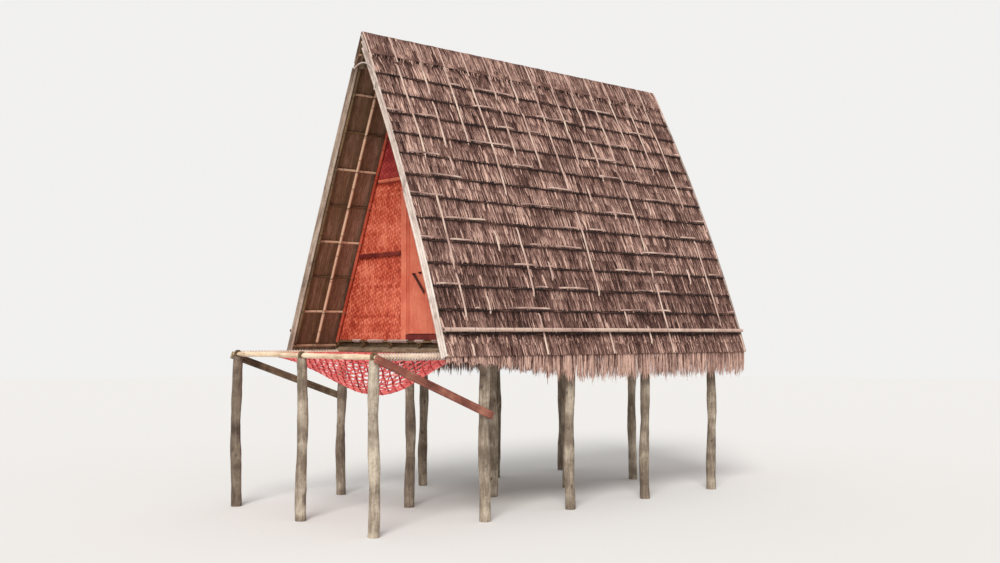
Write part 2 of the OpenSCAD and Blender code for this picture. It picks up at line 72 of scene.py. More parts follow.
# Numbers shared by all pieces: the bowed roof and the length of the hut, in metres
roof = {"footX": 1.5, "ridgeZ": 5.21, "footZ": 1.70, "bowRight": 0.085, "bowLeft": 0.012, "length": 4.85,
        "thatch": 0.042, "batten": 0.028, "rafter": 0.042, "gap": 0.0003}
left, right = -1, 1
slopes = ((left, "left"), (right, "right"))
alongX, alongY, alongZ = (1, 0, 0), (0, 1, 0), (0, 0, 1)
towardsFront = (0, -1, 0)


def unit(v):
    # v / |v|
    return v / np.maximum(np.linalg.norm(v, axis=-1, keepdims=True), 1e-9)


def ripple(x, seed, pitch=1.0, terms=5):
    # sum of sines, sin(2 pi f x / pitch + p) / (i + 1)^.8 with f about 1 .. terms, within about -1.5 .. 1.5
    rng = np.random.default_rng(abs(seed))
    f = (1 + np.arange(terms)) * rng.uniform(0.8, 1.25, terms)
    p = rng.uniform(0, tau, terms)
    w = 1 / (1 + np.arange(terms)) ** 0.8
    return (np.sin(tau * f * np.asarray(x)[..., None] / pitch + p) * w).sum(-1) / w.sum() * 1.5


def world(x, y, z):
    # a point given along the hut from the front verge
    return np.stack(np.broadcast_arrays(x, np.asarray(y) + frontY, z), -1).astype(float)


# Roof arcs
chord = math.hypot(roof["footX"], roof["ridgeZ"] - roof["footZ"])
downX, downZ = roof["footX"] / chord, (roof["footZ"] - roof["ridgeZ"]) / chord
outX, outZ = -downZ, downX


def outward(side):
    # square to the chord of a slope
    return side * outX, 0, outZ


def arc(side):
    # radius and middle of the circle through ridge and foot, and half the angle between them
    bow = roof["bowRight"] if side > 0 else roof["bowLeft"]
    r = (chord ** 2 / 4 + bow ** 2) / (2 * bow)
    mx, mz = downX * chord / 2 - outX * (r - bow), roof["ridgeZ"] + downZ * chord / 2 - outZ * (r - bow)
    return r, mx, mz, math.asin(chord / 2 / r)


def slopePoint(side, t, d):
    # middle + (r + d)(out cos a + down sin a), a = (2 t - 1) half; t is 0 at the ridge and 1 at the foot
    r, mx, mz, half = arc(side)
    a = (2 * np.asarray(t) - 1) * half
    return side * (mx + (r + d) * (outX * np.cos(a) + downX * np.sin(a))), \
        mz + (r + d) * (outZ * np.cos(a) + downZ * np.sin(a))


def slopeX(side, z, d):
    # reach of a slope at height z: middle + sqrt((r + d)^2 - (z - middle)^2)
    r, mx, mz, _ = arc(side)
    return side * (mx + np.sqrt((r + d) ** 2 - (np.asarray(z) - mz) ** 2))


def crossing(d):
    # upper point where the two circles, both moved out by d, meet
    r1, x1, z1, _ = arc(right)
    r2, x2, z2, _ = arc(left)
    r1, r2, x2 = r1 + d, r2 + d, -x2
    far = math.hypot(x2 - x1, z2 - z1)
    ex, ez = (x2 - x1) / far, (z2 - z1) / far
    a = (r1 * r1 - r2 * r2 + far * far) / (2 * far)
    h = math.sqrt(r1 * r1 - a * a)
    ends = [(x1 + a * ex - ez * h, z1 + a * ez + ex * h), (x1 + a * ex + ez * h, z1 + a * ez - ex * h)]
    return max(ends, key=lambda p: p[1])


def topT(side, d):
    # t at which a slope meets the other one
    r, mx, _, half = arc(side)
    x = side * crossing(d)[0] + roof["gap"] / 2
    return ((math.atan2(outZ, outX) - math.acos((x - mx) / (r + d))) / half + 1) / 2


def lowT(side, z, d):
    # t at which a slope comes down to height z
    r, _, mz, half = arc(side)
    return ((math.atan2(outZ, outX) - math.asin((z - mz) / (r + d))) / half + 1) / 2


def onSlope(side, t, d, y):
    # a point of a slope, y along the hut
    x, z = slopePoint(side, t, d)
    return world(x, y, z)


def lengthwise(gap, count):
    # steps along the hut, gap short of both its ends
    return np.linspace(gap, roof["length"] - gap, count)


def within(y, gap):
    # y, held gap short of both ends
    return np.clip(y, gap, roof["length"] - gap)


# Layers of the roof, outwards from the face of the thatch
battenD = -(roof["thatch"] + roof["gap"] + roof["batten"] / 2)
wallD = -(roof["thatch"] + roof["batten"] + 2 * roof["gap"])
rafterD = wallD - roof["rafter"] / 2
insideD = wallD - roof["rafter"] - roof["gap"]


# Mesh building. A part is a dictionary of points, faces and the three values that the materials read.
def part(co, faces, grain=None, tone=0.5, mark=0.0, finish=0, smooth=True):
    co = np.asarray(co, float).reshape(-1, 3)
    fill = lambda v: np.broadcast_to(np.asarray(v, float).reshape(-1), (len(co),))
    grain = co if grain is None else np.asarray(grain, float).reshape(-1, 3)
    return {"co": co, "faces": faces, "grain": grain, "tone": fill(tone), "mark": fill(mark),
            "finish": finish, "smooth": smooth}


def ringFaces(n, s):
    # quads between n rings of s points, then the two end faces
    j = np.arange(s)
    row, following = np.arange(n - 1)[:, None] * s, (j + 1) % s
    quads = np.stack([row + j, row + following, row + s + following, row + s + j], -1).reshape(-1, 4)
    return [quads, j[None, ::-1], (n - 1) * s + j[None]]


def sweep(points, tangents, up, outline, tone=0.5, mark=0.0, finish=0, seed=0, smooth=True, centred=False):
    # tubes of n rings, k of them or one: point + N o0 + B o1, with N = unit(up - T (T.up)) and B = T x N;
    # T is the tangent, by default the gradient of the points
    points = np.asarray(points, float)
    lead = (lambda v: np.asarray(v)[None] if np.ndim(v) else v) if points.ndim == 2 else (lambda v: v)
    points = lead(points)
    k, n = points.shape[:2]
    s = outline.shape[-2]
    t = unit(np.gradient(points, axis=1) if tangents is None else np.broadcast_to(tangents, points.shape))
    up = np.broadcast_to(np.asarray(up, float), points.shape)
    nn = unit(up - t * (t * up).sum(-1, keepdims=True))
    bb = np.cross(t, nn)
    outline = np.broadcast_to(outline, (k, n, s, 2))
    co = points[:, :, None] + nn[:, :, None] * outline[..., :1] + bb[:, :, None] * outline[..., 1:]
    base = np.arange(k)[:, None, None] * n * s
    faces = [(base + f).reshape(-1, f.shape[-1]) for f in ringFaces(n, s)]
    steps = np.linalg.norm(np.diff(points, axis=1), axis=-1)
    far = np.concatenate([np.zeros((k, 1)), np.cumsum(steps, 1)], 1)
    offset = np.random.default_rng(abs(seed)).uniform(0, 9, (k, 1, 1, 3))
    if centred:
        offset[..., :2] = 0
    grain = np.concatenate([outline, np.broadcast_to(far[:, :, None, None], (k, n, s, 1))], -1) + offset

    def spread(v):
        v = np.asarray(lead(v), float)
        return np.broadcast_to(v.reshape(v.shape + (1,) * (3 - v.ndim)), (k, n, s))
    return part(co, faces, grain, spread(tone), spread(mark), finish, smooth)


def ringOutline(radius, sides):
    # (r cos q, r sin q), for one radius or one a ring
    q = np.arange(sides) * tau / sides
    r = np.asarray(radius, float)[..., None]
    return np.stack([r * np.cos(q), r * np.sin(q)], -1)


def boxOutline(thick, width, sides=8, square=0.35):
    # rounded rectangle: (thick/2 |cos|^e sign, width/2 |sin|^e sign)
    q = (np.arange(sides) + 0.5) * tau / sides
    return np.stack([size / 2 * np.sign(v) * np.abs(v) ** square
                     for size, v in ((thick, np.cos(q)), (width, np.sin(q)))], -1)


def archOutline(thick, width, sides=8):
    # flat back at 0 and a low arch of height thick over it
    q = np.linspace(-1, 1, sides)
    return np.stack([thick * (1 - np.abs(q) ** 2.6) ** 0.6, width / 2 * q], -1)


def tangentsOf(curve, s):
    # curve(s + 4 mm) - curve(s - 4 mm)
    return curve(s + 0.004) - curve(s - 0.004)


def tube(curve, s, outline, up, **more):
    # an outline carried along a curve
    return sweep(curve(s), tangentsOf(curve, s), up, outline, **more)


def turned(curve, profile, sides, up, seed):
    # a round piece on a line, from pairs of distance and radius
    s, r = np.array(profile).T
    return tube(curve, s, ringOutline(r, sides), up, seed=seed)


def leaves(points, up, width, thick, tone, seed):
    # flat three-sided leaves on k lines: a crease thick over the middle and edges half the width away
    out = np.zeros(width.shape + (3, 2))
    out[..., 0, 0] = thick
    out[..., 1, 1], out[..., 2, 1] = width / 2, -width / 2
    return sweep(points, None, up, out, tone, seed=seed, smooth=False)


def gridPanel(co, back, flip, tone):
    # a relief grid with rim quads and one flat face behind it, at y = back
    rows, cols = co.shape[:2]
    i = np.arange(rows * cols).reshape(rows, cols)
    front = np.stack([i[:-1, :-1], i[:-1, 1:], i[1:, 1:], i[1:, :-1]], -1).reshape(-1, 4)
    rim = np.concatenate([i[0, :-1], i[:-1, -1], i[-1, :0:-1], i[:0:-1, 0]])
    behind = co.reshape(-1, 3)[rim].copy()
    behind[:, 1] = back
    b = rows * cols + np.arange(len(rim))
    faces = [front, np.stack([rim, b, np.roll(b, -1), np.roll(rim, -1)], -1), b[None, ::-1]]
    if flip:
        faces = [f[:, ::-1] for f in faces]
    tone = tone.reshape(-1)
    return part(np.concatenate([co.reshape(-1, 3), behind]), faces, tone=np.concatenate([tone, tone[rim]]))


pieceSizes = []


def linked(name, data):
    obj = bpy.data.objects.new(name, data)
    bpy.context.scene.collection.objects.link(obj)
    return obj


def makePiece(name, parts, kinds, node=None, body="house"):
    # one mesh of all parts; kinds names its finishes, in the order of the parts' finish numbers
    first = np.cumsum([0] + [len(p["co"]) for p in parts])
    pairs = [(p, f, start) for p, start in zip(parts, first) for f in p["faces"]]
    loops = np.concatenate([(f + start).reshape(-1) for p, f, start in pairs])
    sizes = np.concatenate([np.full(len(f), f.shape[1]) for p, f, start in pairs])
    perFace = lambda key: np.concatenate([np.full(len(f), p[key]) for p, f, start in pairs])
    perPoint = lambda key: np.concatenate([p[key] for p in parts]).astype(np.float32).reshape(-1)
    mesh = bpy.data.meshes.new(name)
    mesh.vertices.add(first[-1])
    mesh.loops.add(len(loops))
    mesh.polygons.add(len(sizes))
    mesh.vertices.foreach_set("co", perPoint("co"))
    mesh.loops.foreach_set("vertex_index", loops.astype(np.int32))
    mesh.polygons.foreach_set("loop_start", np.concatenate([[0], np.cumsum(sizes)[:-1]]).astype(np.int32))
    mesh.polygons.foreach_set("material_index", perFace("finish").astype(np.int32))
    mesh.polygons.foreach_set("use_smooth", perFace("smooth"))
    mesh.update(calc_edges=True)
    mesh.attributes.new("grain", "FLOAT_VECTOR", "POINT").data.foreach_set("vector", perPoint("grain"))
    for key in ("tone", "mark"):
        mesh.attributes.new(key, "FLOAT", "POINT").data.foreach_set("value", perPoint(key))
    mesh.set_sharp_from_angle(angle=math.radians(38))
    for kind in kinds.split():
        mesh.materials.append(finishes[kind])
    obj = linked(name, mesh)
    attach(obj, body)
    if node:
        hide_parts(node)
    pieceSizes.append((name, int((sizes - 2).sum())))


# Materials
def colour(r, g, b):
    # display values 0 .. 255 to linear light
    lin = lambda v: v / 12.92 if v <= 0.04045 else ((v + 0.055) / 1.055) ** 2.4
    return tuple(lin(v / 255) for v in (r, g, b)) + (1.0,)


def add(tree, kind, inputs=None, **settings):
    n = tree.nodes.new(kind)
    for k, v in settings.items():
        setattr(n, k, v)
    for k, v in (inputs or {}).items():
        if isinstance(v, bpy.types.NodeSocket):
            tree.links.new(v, n.inputs[k])
        else:
            n.inputs[k].default_value = v
    return n


def calc(tree, op, a, b=0.0, c=0.0, clamp=False):
    return add(tree, "ShaderNodeMath", {0: a, 1: b, 2: c}, operation=op, use_clamp=clamp).outputs[0]


def between(tree, value, low, high, start, end):
    # value from low .. high to start .. end
    return add(tree, "ShaderNodeMapRange", {
        "Value": value, "From Min": low, "From Max": high, "To Min": start, "To Max": end}).outputs[0]


def mix(tree, factor, a, b):
    # sockets 6 and 7 are the colours of a mix node, and output 2 is its colour
    return add(tree, "ShaderNodeMix", {0: factor, 6: a, 7: b}, data_type="RGBA").outputs[2]


def ramp(tree, value, stops):
    n = add(tree, "ShaderNodeValToRGB", {"Fac": value})
    for i in (0, -1):
        n.color_ramp.elements[i].position, n.color_ramp.elements[i].color = stops[i]
    for pos, col in stops[1:-1]:
        n.color_ramp.elements.new(pos).color = col
    return n.outputs["Color"]


def emptyMaterial(name):
    m = bpy.data.materials.new(name)
    m.use_nodes = True
    m.node_tree.nodes.clear()
    return m, m.node_tree


def fibreFinish(name, dark, mid, light, mark, across, along, streak, blotch, blotchScale, dirt, rough, bump,
                depth=0.002, layShare=0.0, layPitch=0.0):
    # colour = ramp(tone + streak (noise along the grain - 1/2) + blotch (large noise - 1/2)), then the worn
    # colour by the mark, and dirt; on rope, the lay is sin(3 turn + pitch along), and it paints light on the
    # strands and shade in the grooves between them
    m, t = emptyMaterial(name)
    attr = lambda key: add(t, "ShaderNodeAttribute", attribute_name=key)
    grain = attr("grain").outputs["Vector"]
    place = add(t, "ShaderNodeTexCoord").outputs["Object"]
    noise = lambda vec, scale, detail, r=0.6: add(t, "ShaderNodeTexNoise", {
        "Vector": vec, "Scale": scale, "Detail": detail, "Roughness": r}).outputs["Fac"]
    scaled = lambda x, z: add(t, "ShaderNodeVectorMath", {0: grain, 1: (x, x, z)},
                              operation="MULTIPLY").outputs[0]
    around = lambda value, share, to: calc(t, "MULTIPLY_ADD", calc(t, "SUBTRACT", value, 0.5), share, to)
    fibre = noise(scaled(across, along), 1.0, 5)
    fine = noise(scaled(across * 4.2, along * 3.1), 1.0, 3)
    large = noise(place, blotchScale, 4)
    grime = noise(place, blotchScale * 6.5, 6, 0.7)
    value = around(fibre, streak * 2, attr("tone").outputs["Fac"])
    value = around(large, blotch * 2, value)
    value = around(fine, streak * 0.8, value)
    height = calc(t, "MULTIPLY_ADD", fine, 0.35, fibre)
    if layPitch:
        split = add(t, "ShaderNodeSeparateXYZ", {0: grain})
        turn = calc(t, "ARCTAN2", split.outputs[1], split.outputs[0])
        run = calc(t, "MULTIPLY", split.outputs[2], layPitch)
        lay = calc(t, "SINE", calc(t, "MULTIPLY_ADD", turn, 3.0, run))
        # painted light and shade: the lay lightens the strands and darkens the grooves between them
        value = calc(t, "MULTIPLY_ADD", lay, layShare, value)
        height = calc(t, "MULTIPLY_ADD", lay, 0.8, height)
    base = ramp(t, value, [(0.12, colour(*dark)), (0.5, colour(*mid)), (0.88, colour(*light))])
    rubbed = calc(t, "MULTIPLY_ADD", fibre, 0.7, 0.62)
    worn = calc(t, "MULTIPLY", attr("mark").outputs["Fac"], rubbed, clamp=True)
    base = mix(t, worn, base, colour(*mark))
    base = mix(t, between(t, grime, 0.48, 0.72, 0.0, dirt), base, colour(*[v * 0.45 for v in dark]))
    normal = add(t, "ShaderNodeBump", {"Height": height, "Strength": bump, "Distance": depth}).outputs[0]
    body = add(t, "ShaderNodeBsdfPrincipled", {
        "Base Color": base, "Roughness": between(t, fibre, 0.3, 0.7, *rough), "Normal": normal,
        "Specular IOR Level": 0.15 if layPitch or name == "thatch" else 0.3})
    add(t, "ShaderNodeOutputMaterial", {"Surface": body.outputs[0]})
    return m


# name, dark, middle, light and worn colour, grain across and along, streak, blotch and its scale, dirt,
# roughness from and to, bump, depth of the bump; share and pitch of a rope's lay
finishTable = {
    "post": ("post bark", (80, 66, 56), (138, 123, 107), (206, 192, 172), (44, 33, 28),
             50, 5, 0.36, 0.42, 5.5, 0.42, (0.7, 0.95), 0.8, 0.004),
    "log": ("beam log", (78, 62, 48), (134, 114, 92), (182, 160, 132), (92, 72, 54),
            60, 5, 0.5, 0.4, 3.0, 0.4, (0.7, 0.95), 0.8, 0.004),
    "peeled": ("peeled pole", (176, 142, 106), (244, 218, 186), (255, 238, 214), (120, 84, 56),
               70, 4, 0.3, 0.3, 4.0, 0.25, (0.5, 0.75), 0.4),
    "bamboo": ("old bamboo", (70, 52, 36), (124, 98, 68), (170, 140, 100), (40, 28, 20),
               130, 3, 0.35, 0.4, 3.0, 0.35, (0.45, 0.7), 0.3, 0.001),
    "tan": ("tan bamboo", (150, 112, 84), (215, 174, 144), (238, 208, 178), (92, 62, 44),
            130, 3, 0.3, 0.3, 3.0, 0.2, (0.42, 0.65), 0.3, 0.001),
    "strip": ("split bamboo", (122, 92, 84), (192, 158, 146), (228, 204, 186), (84, 56, 50),
              140, 3, 0.4, 0.45, 2.2, 0.35, (0.5, 0.75), 0.4, 0.001),
    "floor": ("floor slats", (62, 44, 32), (112, 86, 60), (160, 130, 94), (40, 26, 20),
              120, 4, 0.4, 0.4, 2.6, 0.4, (0.5, 0.8), 0.4),
    "thatch": ("thatch", (46, 28, 24), (126, 93, 84), (220, 182, 166), (150, 126, 92),
               130, 12, 0.75, 0.25, 2.4, 0.16, (0.8, 0.98), 0.9, 0.004),
    "mat": ("painted mat", (138, 42, 27), (195, 79, 54), (238, 138, 108), (150, 48, 44),
            120, 22, 0.8, 0.5, 2.8, 0.15, (0.6, 0.85), 0.6),
    "gable": ("painted gable", (98, 22, 24), (152, 46, 46), (188, 78, 70), (70, 14, 16),
              130, 8, 0.35, 0.4, 2.6, 0.15, (0.6, 0.85), 0.5),
    "paint": ("painted wood", (168, 64, 42), (218, 112, 86), (240, 150, 118), (116, 30, 24),
              90, 4, 0.3, 0.35, 3.0, 0.15, (0.5, 0.75), 0.35),
    "sill": ("threshold wood", (62, 16, 14), (112, 36, 30), (160, 70, 56), (44, 14, 12),
             90, 4, 0.35, 0.4, 3.0, 0.3, (0.5, 0.75), 0.4),
    "dark": ("dark wood", (36, 12, 10), (72, 28, 22), (112, 54, 44), (30, 10, 8),
             90, 5, 0.4, 0.4, 4.0, 0.3, (0.5, 0.8), 0.4),
    "brace": ("brace board", (82, 40, 34), (140, 82, 68), (178, 120, 100), (66, 30, 26),
              80, 4, 0.5, 0.4, 4.0, 0.4, (0.6, 0.85), 0.5),
    "pale": ("pale bamboo board", (132, 108, 98), (198, 180, 169), (232, 220, 210), (108, 76, 64),
             120, 3, 0.45, 0.5, 3.2, 0.35, (0.48, 0.7), 0.35, 0.001),
    "grey": ("grey bamboo board", (96, 76, 64), (158, 136, 120), (206, 186, 168), (66, 46, 38),
             120, 3, 0.4, 0.4, 2.6, 0.4, (0.5, 0.8), 0.4, 0.001),
    # on the net rope, the worn colour is a pale pink, used mostly as a painted highlight and on a few faded
    # strands
    "net": ("net rope", (122, 18, 26), (216, 58, 64), (250, 128, 122), (255, 206, 198),
            420, 60, 0.3, 0.35, 5.0, 0.2, (0.7, 0.95), 0.5, 0.0012, 0.16, 420),
    "cane": ("dark cane and lip shade", (26, 15, 13), (56, 34, 29), (112, 80, 70), (50, 32, 28),
             140, 4, 0.4, 0.5, 2.5, 0.3, (0.6, 0.85), 0.4, 0.001),
    "hemp": ("hemp twine", (70, 52, 38), (128, 104, 78), (176, 152, 120), (60, 44, 34),
             420, 60, 0.3, 0.3, 5.0, 0.3, (0.75, 0.95), 0.5, 0.0012, 0.16, 520),
    "twine": ("white twine", (176, 148, 140), (236, 222, 214), (250, 242, 236), (150, 110, 100),
              420, 60, 0.3, 0.3, 5.0, 0.2, (0.7, 0.95), 0.5, 0.0012, 0.16, 520),
}
finishes = {kind: fibreFinish(*row) for kind, row in finishTable.items()}
print("materials made")


# Posts and beams: crooked logs
posts = {"foot": 0.060, "head": 0.054, "bend": 0.016, "knot": 0.005, "slim": 0.965, "bark": 0.0016,
         "knotHigh": 0.005, "rowHeight": 1.6631, "netHeight": 1.6692, "x": 1.32, "middleX": 0.028,
         "netY": -0.743, "rows": [0.65, 1.886667, 3.123333, 4.36], "netTones": (0.32, 0.54, 0.68)}
beams = {"reach": 1.395, "level": 1.7184, "radius": 0.0532,
         "ridgeX": 0.01246, "ridgeZ": 4.85438, "ridgeRadius": 0.0405}
postRows = list(zip(("front", "second", "third", "rear"), posts["rows"]))
postColumns = (("left", -posts["x"]), ("middle", posts["middleX"]), ("right", posts["x"]))


def wander(u, n):
    # bend sin(180 u) (cos, sin)(137 n + 210 u), in degrees
    a = np.radians(137 * n + 210 * u)
    return posts["bend"] * np.sin(np.pi * u) * np.cos(a), posts["bend"] * np.sin(np.pi * u) * np.sin(a)


def barkRelief(radius, length, q, z, n, knots):
    # lobes sin(k q + ripple(z)) / k^.6 and round knots exp(-(dz / .022)^2 - (dq / .38)^2)
    rng = np.random.default_rng(700 + n)
    r = np.zeros(np.broadcast(q, z).shape)
    for k in (2, 3, 5, 9, 14):
        turn = k * q + rng.uniform(0, tau) + 1.8 * ripple(z, 40 * n + k, 0.9)
        r = r + posts["bark"] * 1.7 / k ** 0.6 * np.sin(turn)
    mark = np.zeros(r.shape)
    for i in range(knots):
        zk, qk = rng.uniform(0.08, 0.92) * length, rng.uniform(0, tau)
        dq = (q - qk + np.pi) % tau - np.pi
        bump = np.exp(-((z - zk) / 0.022) ** 2 - (dq / 0.38) ** 2)
        r = r + posts["knotHigh"] * bump - 0.9 * posts["knotHigh"] * bump ** 6
        mark = np.maximum(mark, bump ** 3)
    return radius + r, mark


def logPart(curve, length, radius, up, n, tone, sides=24, rings=48, knots=6, lean=None):
    # rings of barkRelief on a line, with a small bevel and marked end grain; radius is a number or one a ring
    bevel = 0.004
    z = np.concatenate([[0, 0.0], np.linspace(bevel, length - bevel, rings), [length, length]])
    q = np.arange(sides) * tau / sides
    base = radius(z / length) if callable(radius) else np.full(len(z), radius)
    r, mark = barkRelief(base[:, None], length, q[None], z[:, None], n, knots)
    r[[0, -1]] *= 0.9
    r[[1, -2]] *= 0.985
    mark[[0, -1]] = 0.8
    shade = tone + 0.10 * ripple(z, n + 5, 0.8)[:, None] + 0.05 * np.sin(q + n)[None]
    out = np.stack([r * np.cos(q), r * np.sin(q)], -1)
    return sweep(curve(z), tangentsOf(curve, z) if lean is None else lean, up, out, shade, mark, seed=n)


def makePosts():
    p = posts
    rows = [("net", p["netY"], p["netHeight"], 1)]
    rows += [(name, y, p["rowHeight"], 4 + 3 * i) for i, (name, y) in enumerate(postRows)]
    for name, y, high, first in rows:
        for j, (where, x) in enumerate(postColumns):
            n = first + j

            def axis(z):
                wx, wy = wander(z / high, n)
                return world(x + wx, y + wy, z)

            def radius(u):
                return p["slim"] * (p["foot"] + (p["head"] - p["foot"]) * u) + \
                    p["knot"] * np.sin(np.pi * u) * np.sin(np.radians(360 * (2.3 * u + 0.37 * n) + 40))
            tone = p["netTones"][j] if name == "net" else 0.52 + 0.07 * np.sin(2.4 * n)
            log = logPart(axis, high, radius, alongX, n, tone, lean=alongZ)
            # no bump stands out before the CAD's front
            log["co"][:, 1] = np.maximum(log["co"][:, 1], cadBox[0][1] + 0.0002)
            makePiece(f"{name}_post_log_{where}", [log], "post", f"{name}_post_{where}")


def makeBeams():
    b = beams
    for k, (name, y) in enumerate(postRows):
        axis = lambda s: world(-b["reach"] + s, y + 0.002 * ripple(s, k + 3, 2.8), b["level"])
        log = logPart(axis, 2 * b["reach"], b["radius"], alongZ, 30 + k, 0.5, rings=56, knots=8)
        makePiece(name + "_beam_log", [log], "log", name + "_beam")
    axis = lambda s: world(b["ridgeX"], s, b["ridgeZ"])
    log = logPart(axis, roof["length"], b["ridgeRadius"], alongZ, 41, 0.42, rings=90, sides=20, knots=8)
    makePiece("ridge_log", [log], "log", "ridge_pole")


makePosts()
makeBeams()
print("logs made")


# Bamboo culms
culms = {"sides": 12, "pitch": 0.31, "swell": 0.055, "waist": 0.03, "wall": 0.68, "deep": 0.03, "slim": 0.94,
         "step": 0.16}


def culm(line, radius, seed, up, tone=0.5, finish=0, sides=culms["sides"]):
    # radius r0 (1 + swell exp(-(s - node)^2 / .006^2) - waist exp(-(s - node - .013)^2 / .008^2)), with
    # hollow ends; line is a curve and its length
    c = culms
    curve, length = line
    pitch = c["pitch"]
    rng = np.random.default_rng(seed)
    nodes = np.cumsum(rng.uniform(0.8, 1.2, int(length / pitch / 0.8) + 2) * pitch)
    nodes = nodes - pitch * rng.uniform(0.1, 0.9)
    nodes = nodes[(nodes > 0.03) & (nodes < length - 0.03)]
    s = np.concatenate([np.linspace(0, length, max(3, int(length / c["step"]) + 1)),
                        (nodes[:, None] + np.array([-0.014, -0.005, 0.0, 0.005, 0.014, 0.026])).ravel()])
    s = np.unique(np.round(s[(s >= 0) & (s <= length)], 4))
    gap = s[:, None] - nodes if len(nodes) else np.full((len(s), 1), 9.0)
    knob = c["swell"] * np.exp(-(gap / 0.006) ** 2) - c["waist"] * np.exp(-((gap - 0.013) / 0.008) ** 2)
    ring = 0.8 * np.exp(-((gap - 0.006) / 0.006) ** 2).max(1)
    r = radius * c["slim"] * (1 + knob.sum(1))
    s = np.concatenate([[c["deep"], 0.0], s, [length, length - c["deep"]]])
    r = np.concatenate([[r[0] * c["wall"]] * 2, r, [r[-1] * c["wall"]] * 2])
    ring = np.concatenate([[1.0, 0.4], ring, [0.4, 1.0]])
    shade = tone + 0.10 * ripple(s, seed + 1, 1.4)
    return tube(curve, s, ringOutline(r, sides), up, tone=shade, mark=ring, finish=finish, seed=seed)


def straight(a, b, bend=0.0, seed=0):
    # a + (b - a) s / L + side sin(pi s / L) bend
    far = np.linalg.norm(b - a)
    line = (b - a) / far
    side = unit(np.cross(line, np.random.default_rng(seed).normal(size=3)))

    def curve(s):
        s = np.asarray(s)
        return a + line * s[..., None] + side * (bend * np.sin(np.pi * s / far))[..., None]
    return curve, far


def alongHut(x, y0, y1, z, *bow):
    # a straight line from front to rear
    return straight(world(x, y0, z), world(x, y1, z), *bow)


def downSlope(side, d, y, t0, t1, drift=0.0, seed=0):
    # the line along a slope at distance d, from t0 to t1, as a function of the metres along it
    r, _, _, half = arc(side)
    far = 2 * half * (r + d) * (t1 - t0)
    curve = lambda s: onSlope(side, t0 + (t1 - t0) * np.asarray(s) / far, d, y + drift * ripple(s, seed, 1.9))
    return curve, far


frameWork = {"rafterY": [0.031, 0.3149] + list(np.linspace(0.5987, 4.4113, 9)) + [4.5351, 4.819],
             "rafterFoot": 1.826, "rafterR": 0.0207, "paleRafter": 1, "paleSlim": 0.82,
             "paintedRafters": (2, 10), "battens": 9, "firstT": 0.06, "lastT": 0.97, "battenR": 0.0138,
             "porch": 0.62, "oldBattens": (2, 4, 6)}
floor = {"joists": 6, "joistX": 1.3468, "joistZ": 1.7997, "joistR": 0.0257, "frontY": 0.589, "rearY": 4.42,
         "slats": 96, "reach": 1.3158, "slatZ": 1.8262, "slatHigh": 0.0215, "uneven": 0.0016, "fill": 0.94}


def battenT(i):
    # evenly from firstT to lastT
    return frameWork["firstT"] + (frameWork["lastT"] - frameWork["firstT"]) * i / (frameWork["battens"] - 1)


def makeRoofFrame(side, name):
    # finish 0 is old bamboo, 1 the tan poles of the porch, 2 the painted rafters at the walls
    f = frameWork
    parts = []
    ends = topT(side, rafterD), lowT(side, f["rafterFoot"] + roof["gap"], rafterD)
    for i, y in enumerate(f["rafterY"]):
        seed = 100 + 20 * i + side
        pale = i == f["paleRafter"]
        kind = 1 if pale else 2 if i in f["paintedRafters"] else 0
        radius = f["rafterR"] * (f["paleSlim"] if pale else 1)
        tone = 0.45 + 0.12 * np.sin(seed) + (0, 0.2, -0.3)[kind]
        parts.append(culm(downSlope(side, rafterD, y, *ends), radius, seed, alongY, tone, kind, sides=10))
    for i in range(f["battens"]):
        x, z = slopePoint(side, battenT(i), battenD)
        for j, (y0, y1) in enumerate(((0.0, f["porch"]), (f["porch"], roof["length"]))):
            kind = int(j == 0 and i not in f["oldBattens"])
            tone = 0.5 + 0.15 * np.sin(3.1 * i + side) + 0.1 * kind
            parts.append(culm(alongHut(x, y0, y1, z, 0.001, i), f["battenR"], 300 + 10 * i + j + side, alongZ,
                              tone, kind, sides=8))
    makePiece("roof_poles_" + name, parts, "bamboo tan paint", "roof_frame_" + name)


def makeFloor():
    f = floor
    parts = [culm(alongHut(x, f["frontY"], f["rearY"], f["joistZ"]), f["joistR"], 400 + i, alongZ, 0.45)
             for i, x in enumerate(np.linspace(-f["joistX"], f["joistX"], f["joists"]))]
    makePiece("floor_joist_culms", parts, "bamboo", "floor_joists")
    # slats of split bamboo: arches of a height that wavers along them
    count, rings, sides = f["slats"], 19, 8
    wide = (f["rearY"] - f["frontY"]) / count
    rng = np.random.default_rng(8)
    s = np.linspace(0, 2 * f["reach"], rings)
    pts = world(-f["reach"] + s[None], (f["frontY"] + wide * (np.arange(count) + 0.5))[:, None], f["slatZ"])
    high = f["slatHigh"] + f["uneven"] * np.sin(s[None] * 9 + rng.uniform(0, tau, (count, 1)))
    out = np.broadcast_to(archOutline(1.0, wide * f["fill"], sides), (count, rings, sides, 2)).copy()
    out[..., 0] *= high[..., None]
    tone = rng.uniform(0.2, 0.8, (count, 1)) + 0.08 * np.sin(s[None] * 6 + rng.uniform(0, 9, (count, 1)))
    slats = sweep(pts, alongX, alongZ, out, tone, seed=9)
    makePiece("floor_slats", [slats], "floor", "floor_deck")


for side, name in slopes:
    makeRoofFrame(side, name)
makeFloor()
print("bamboo frame and floor made")


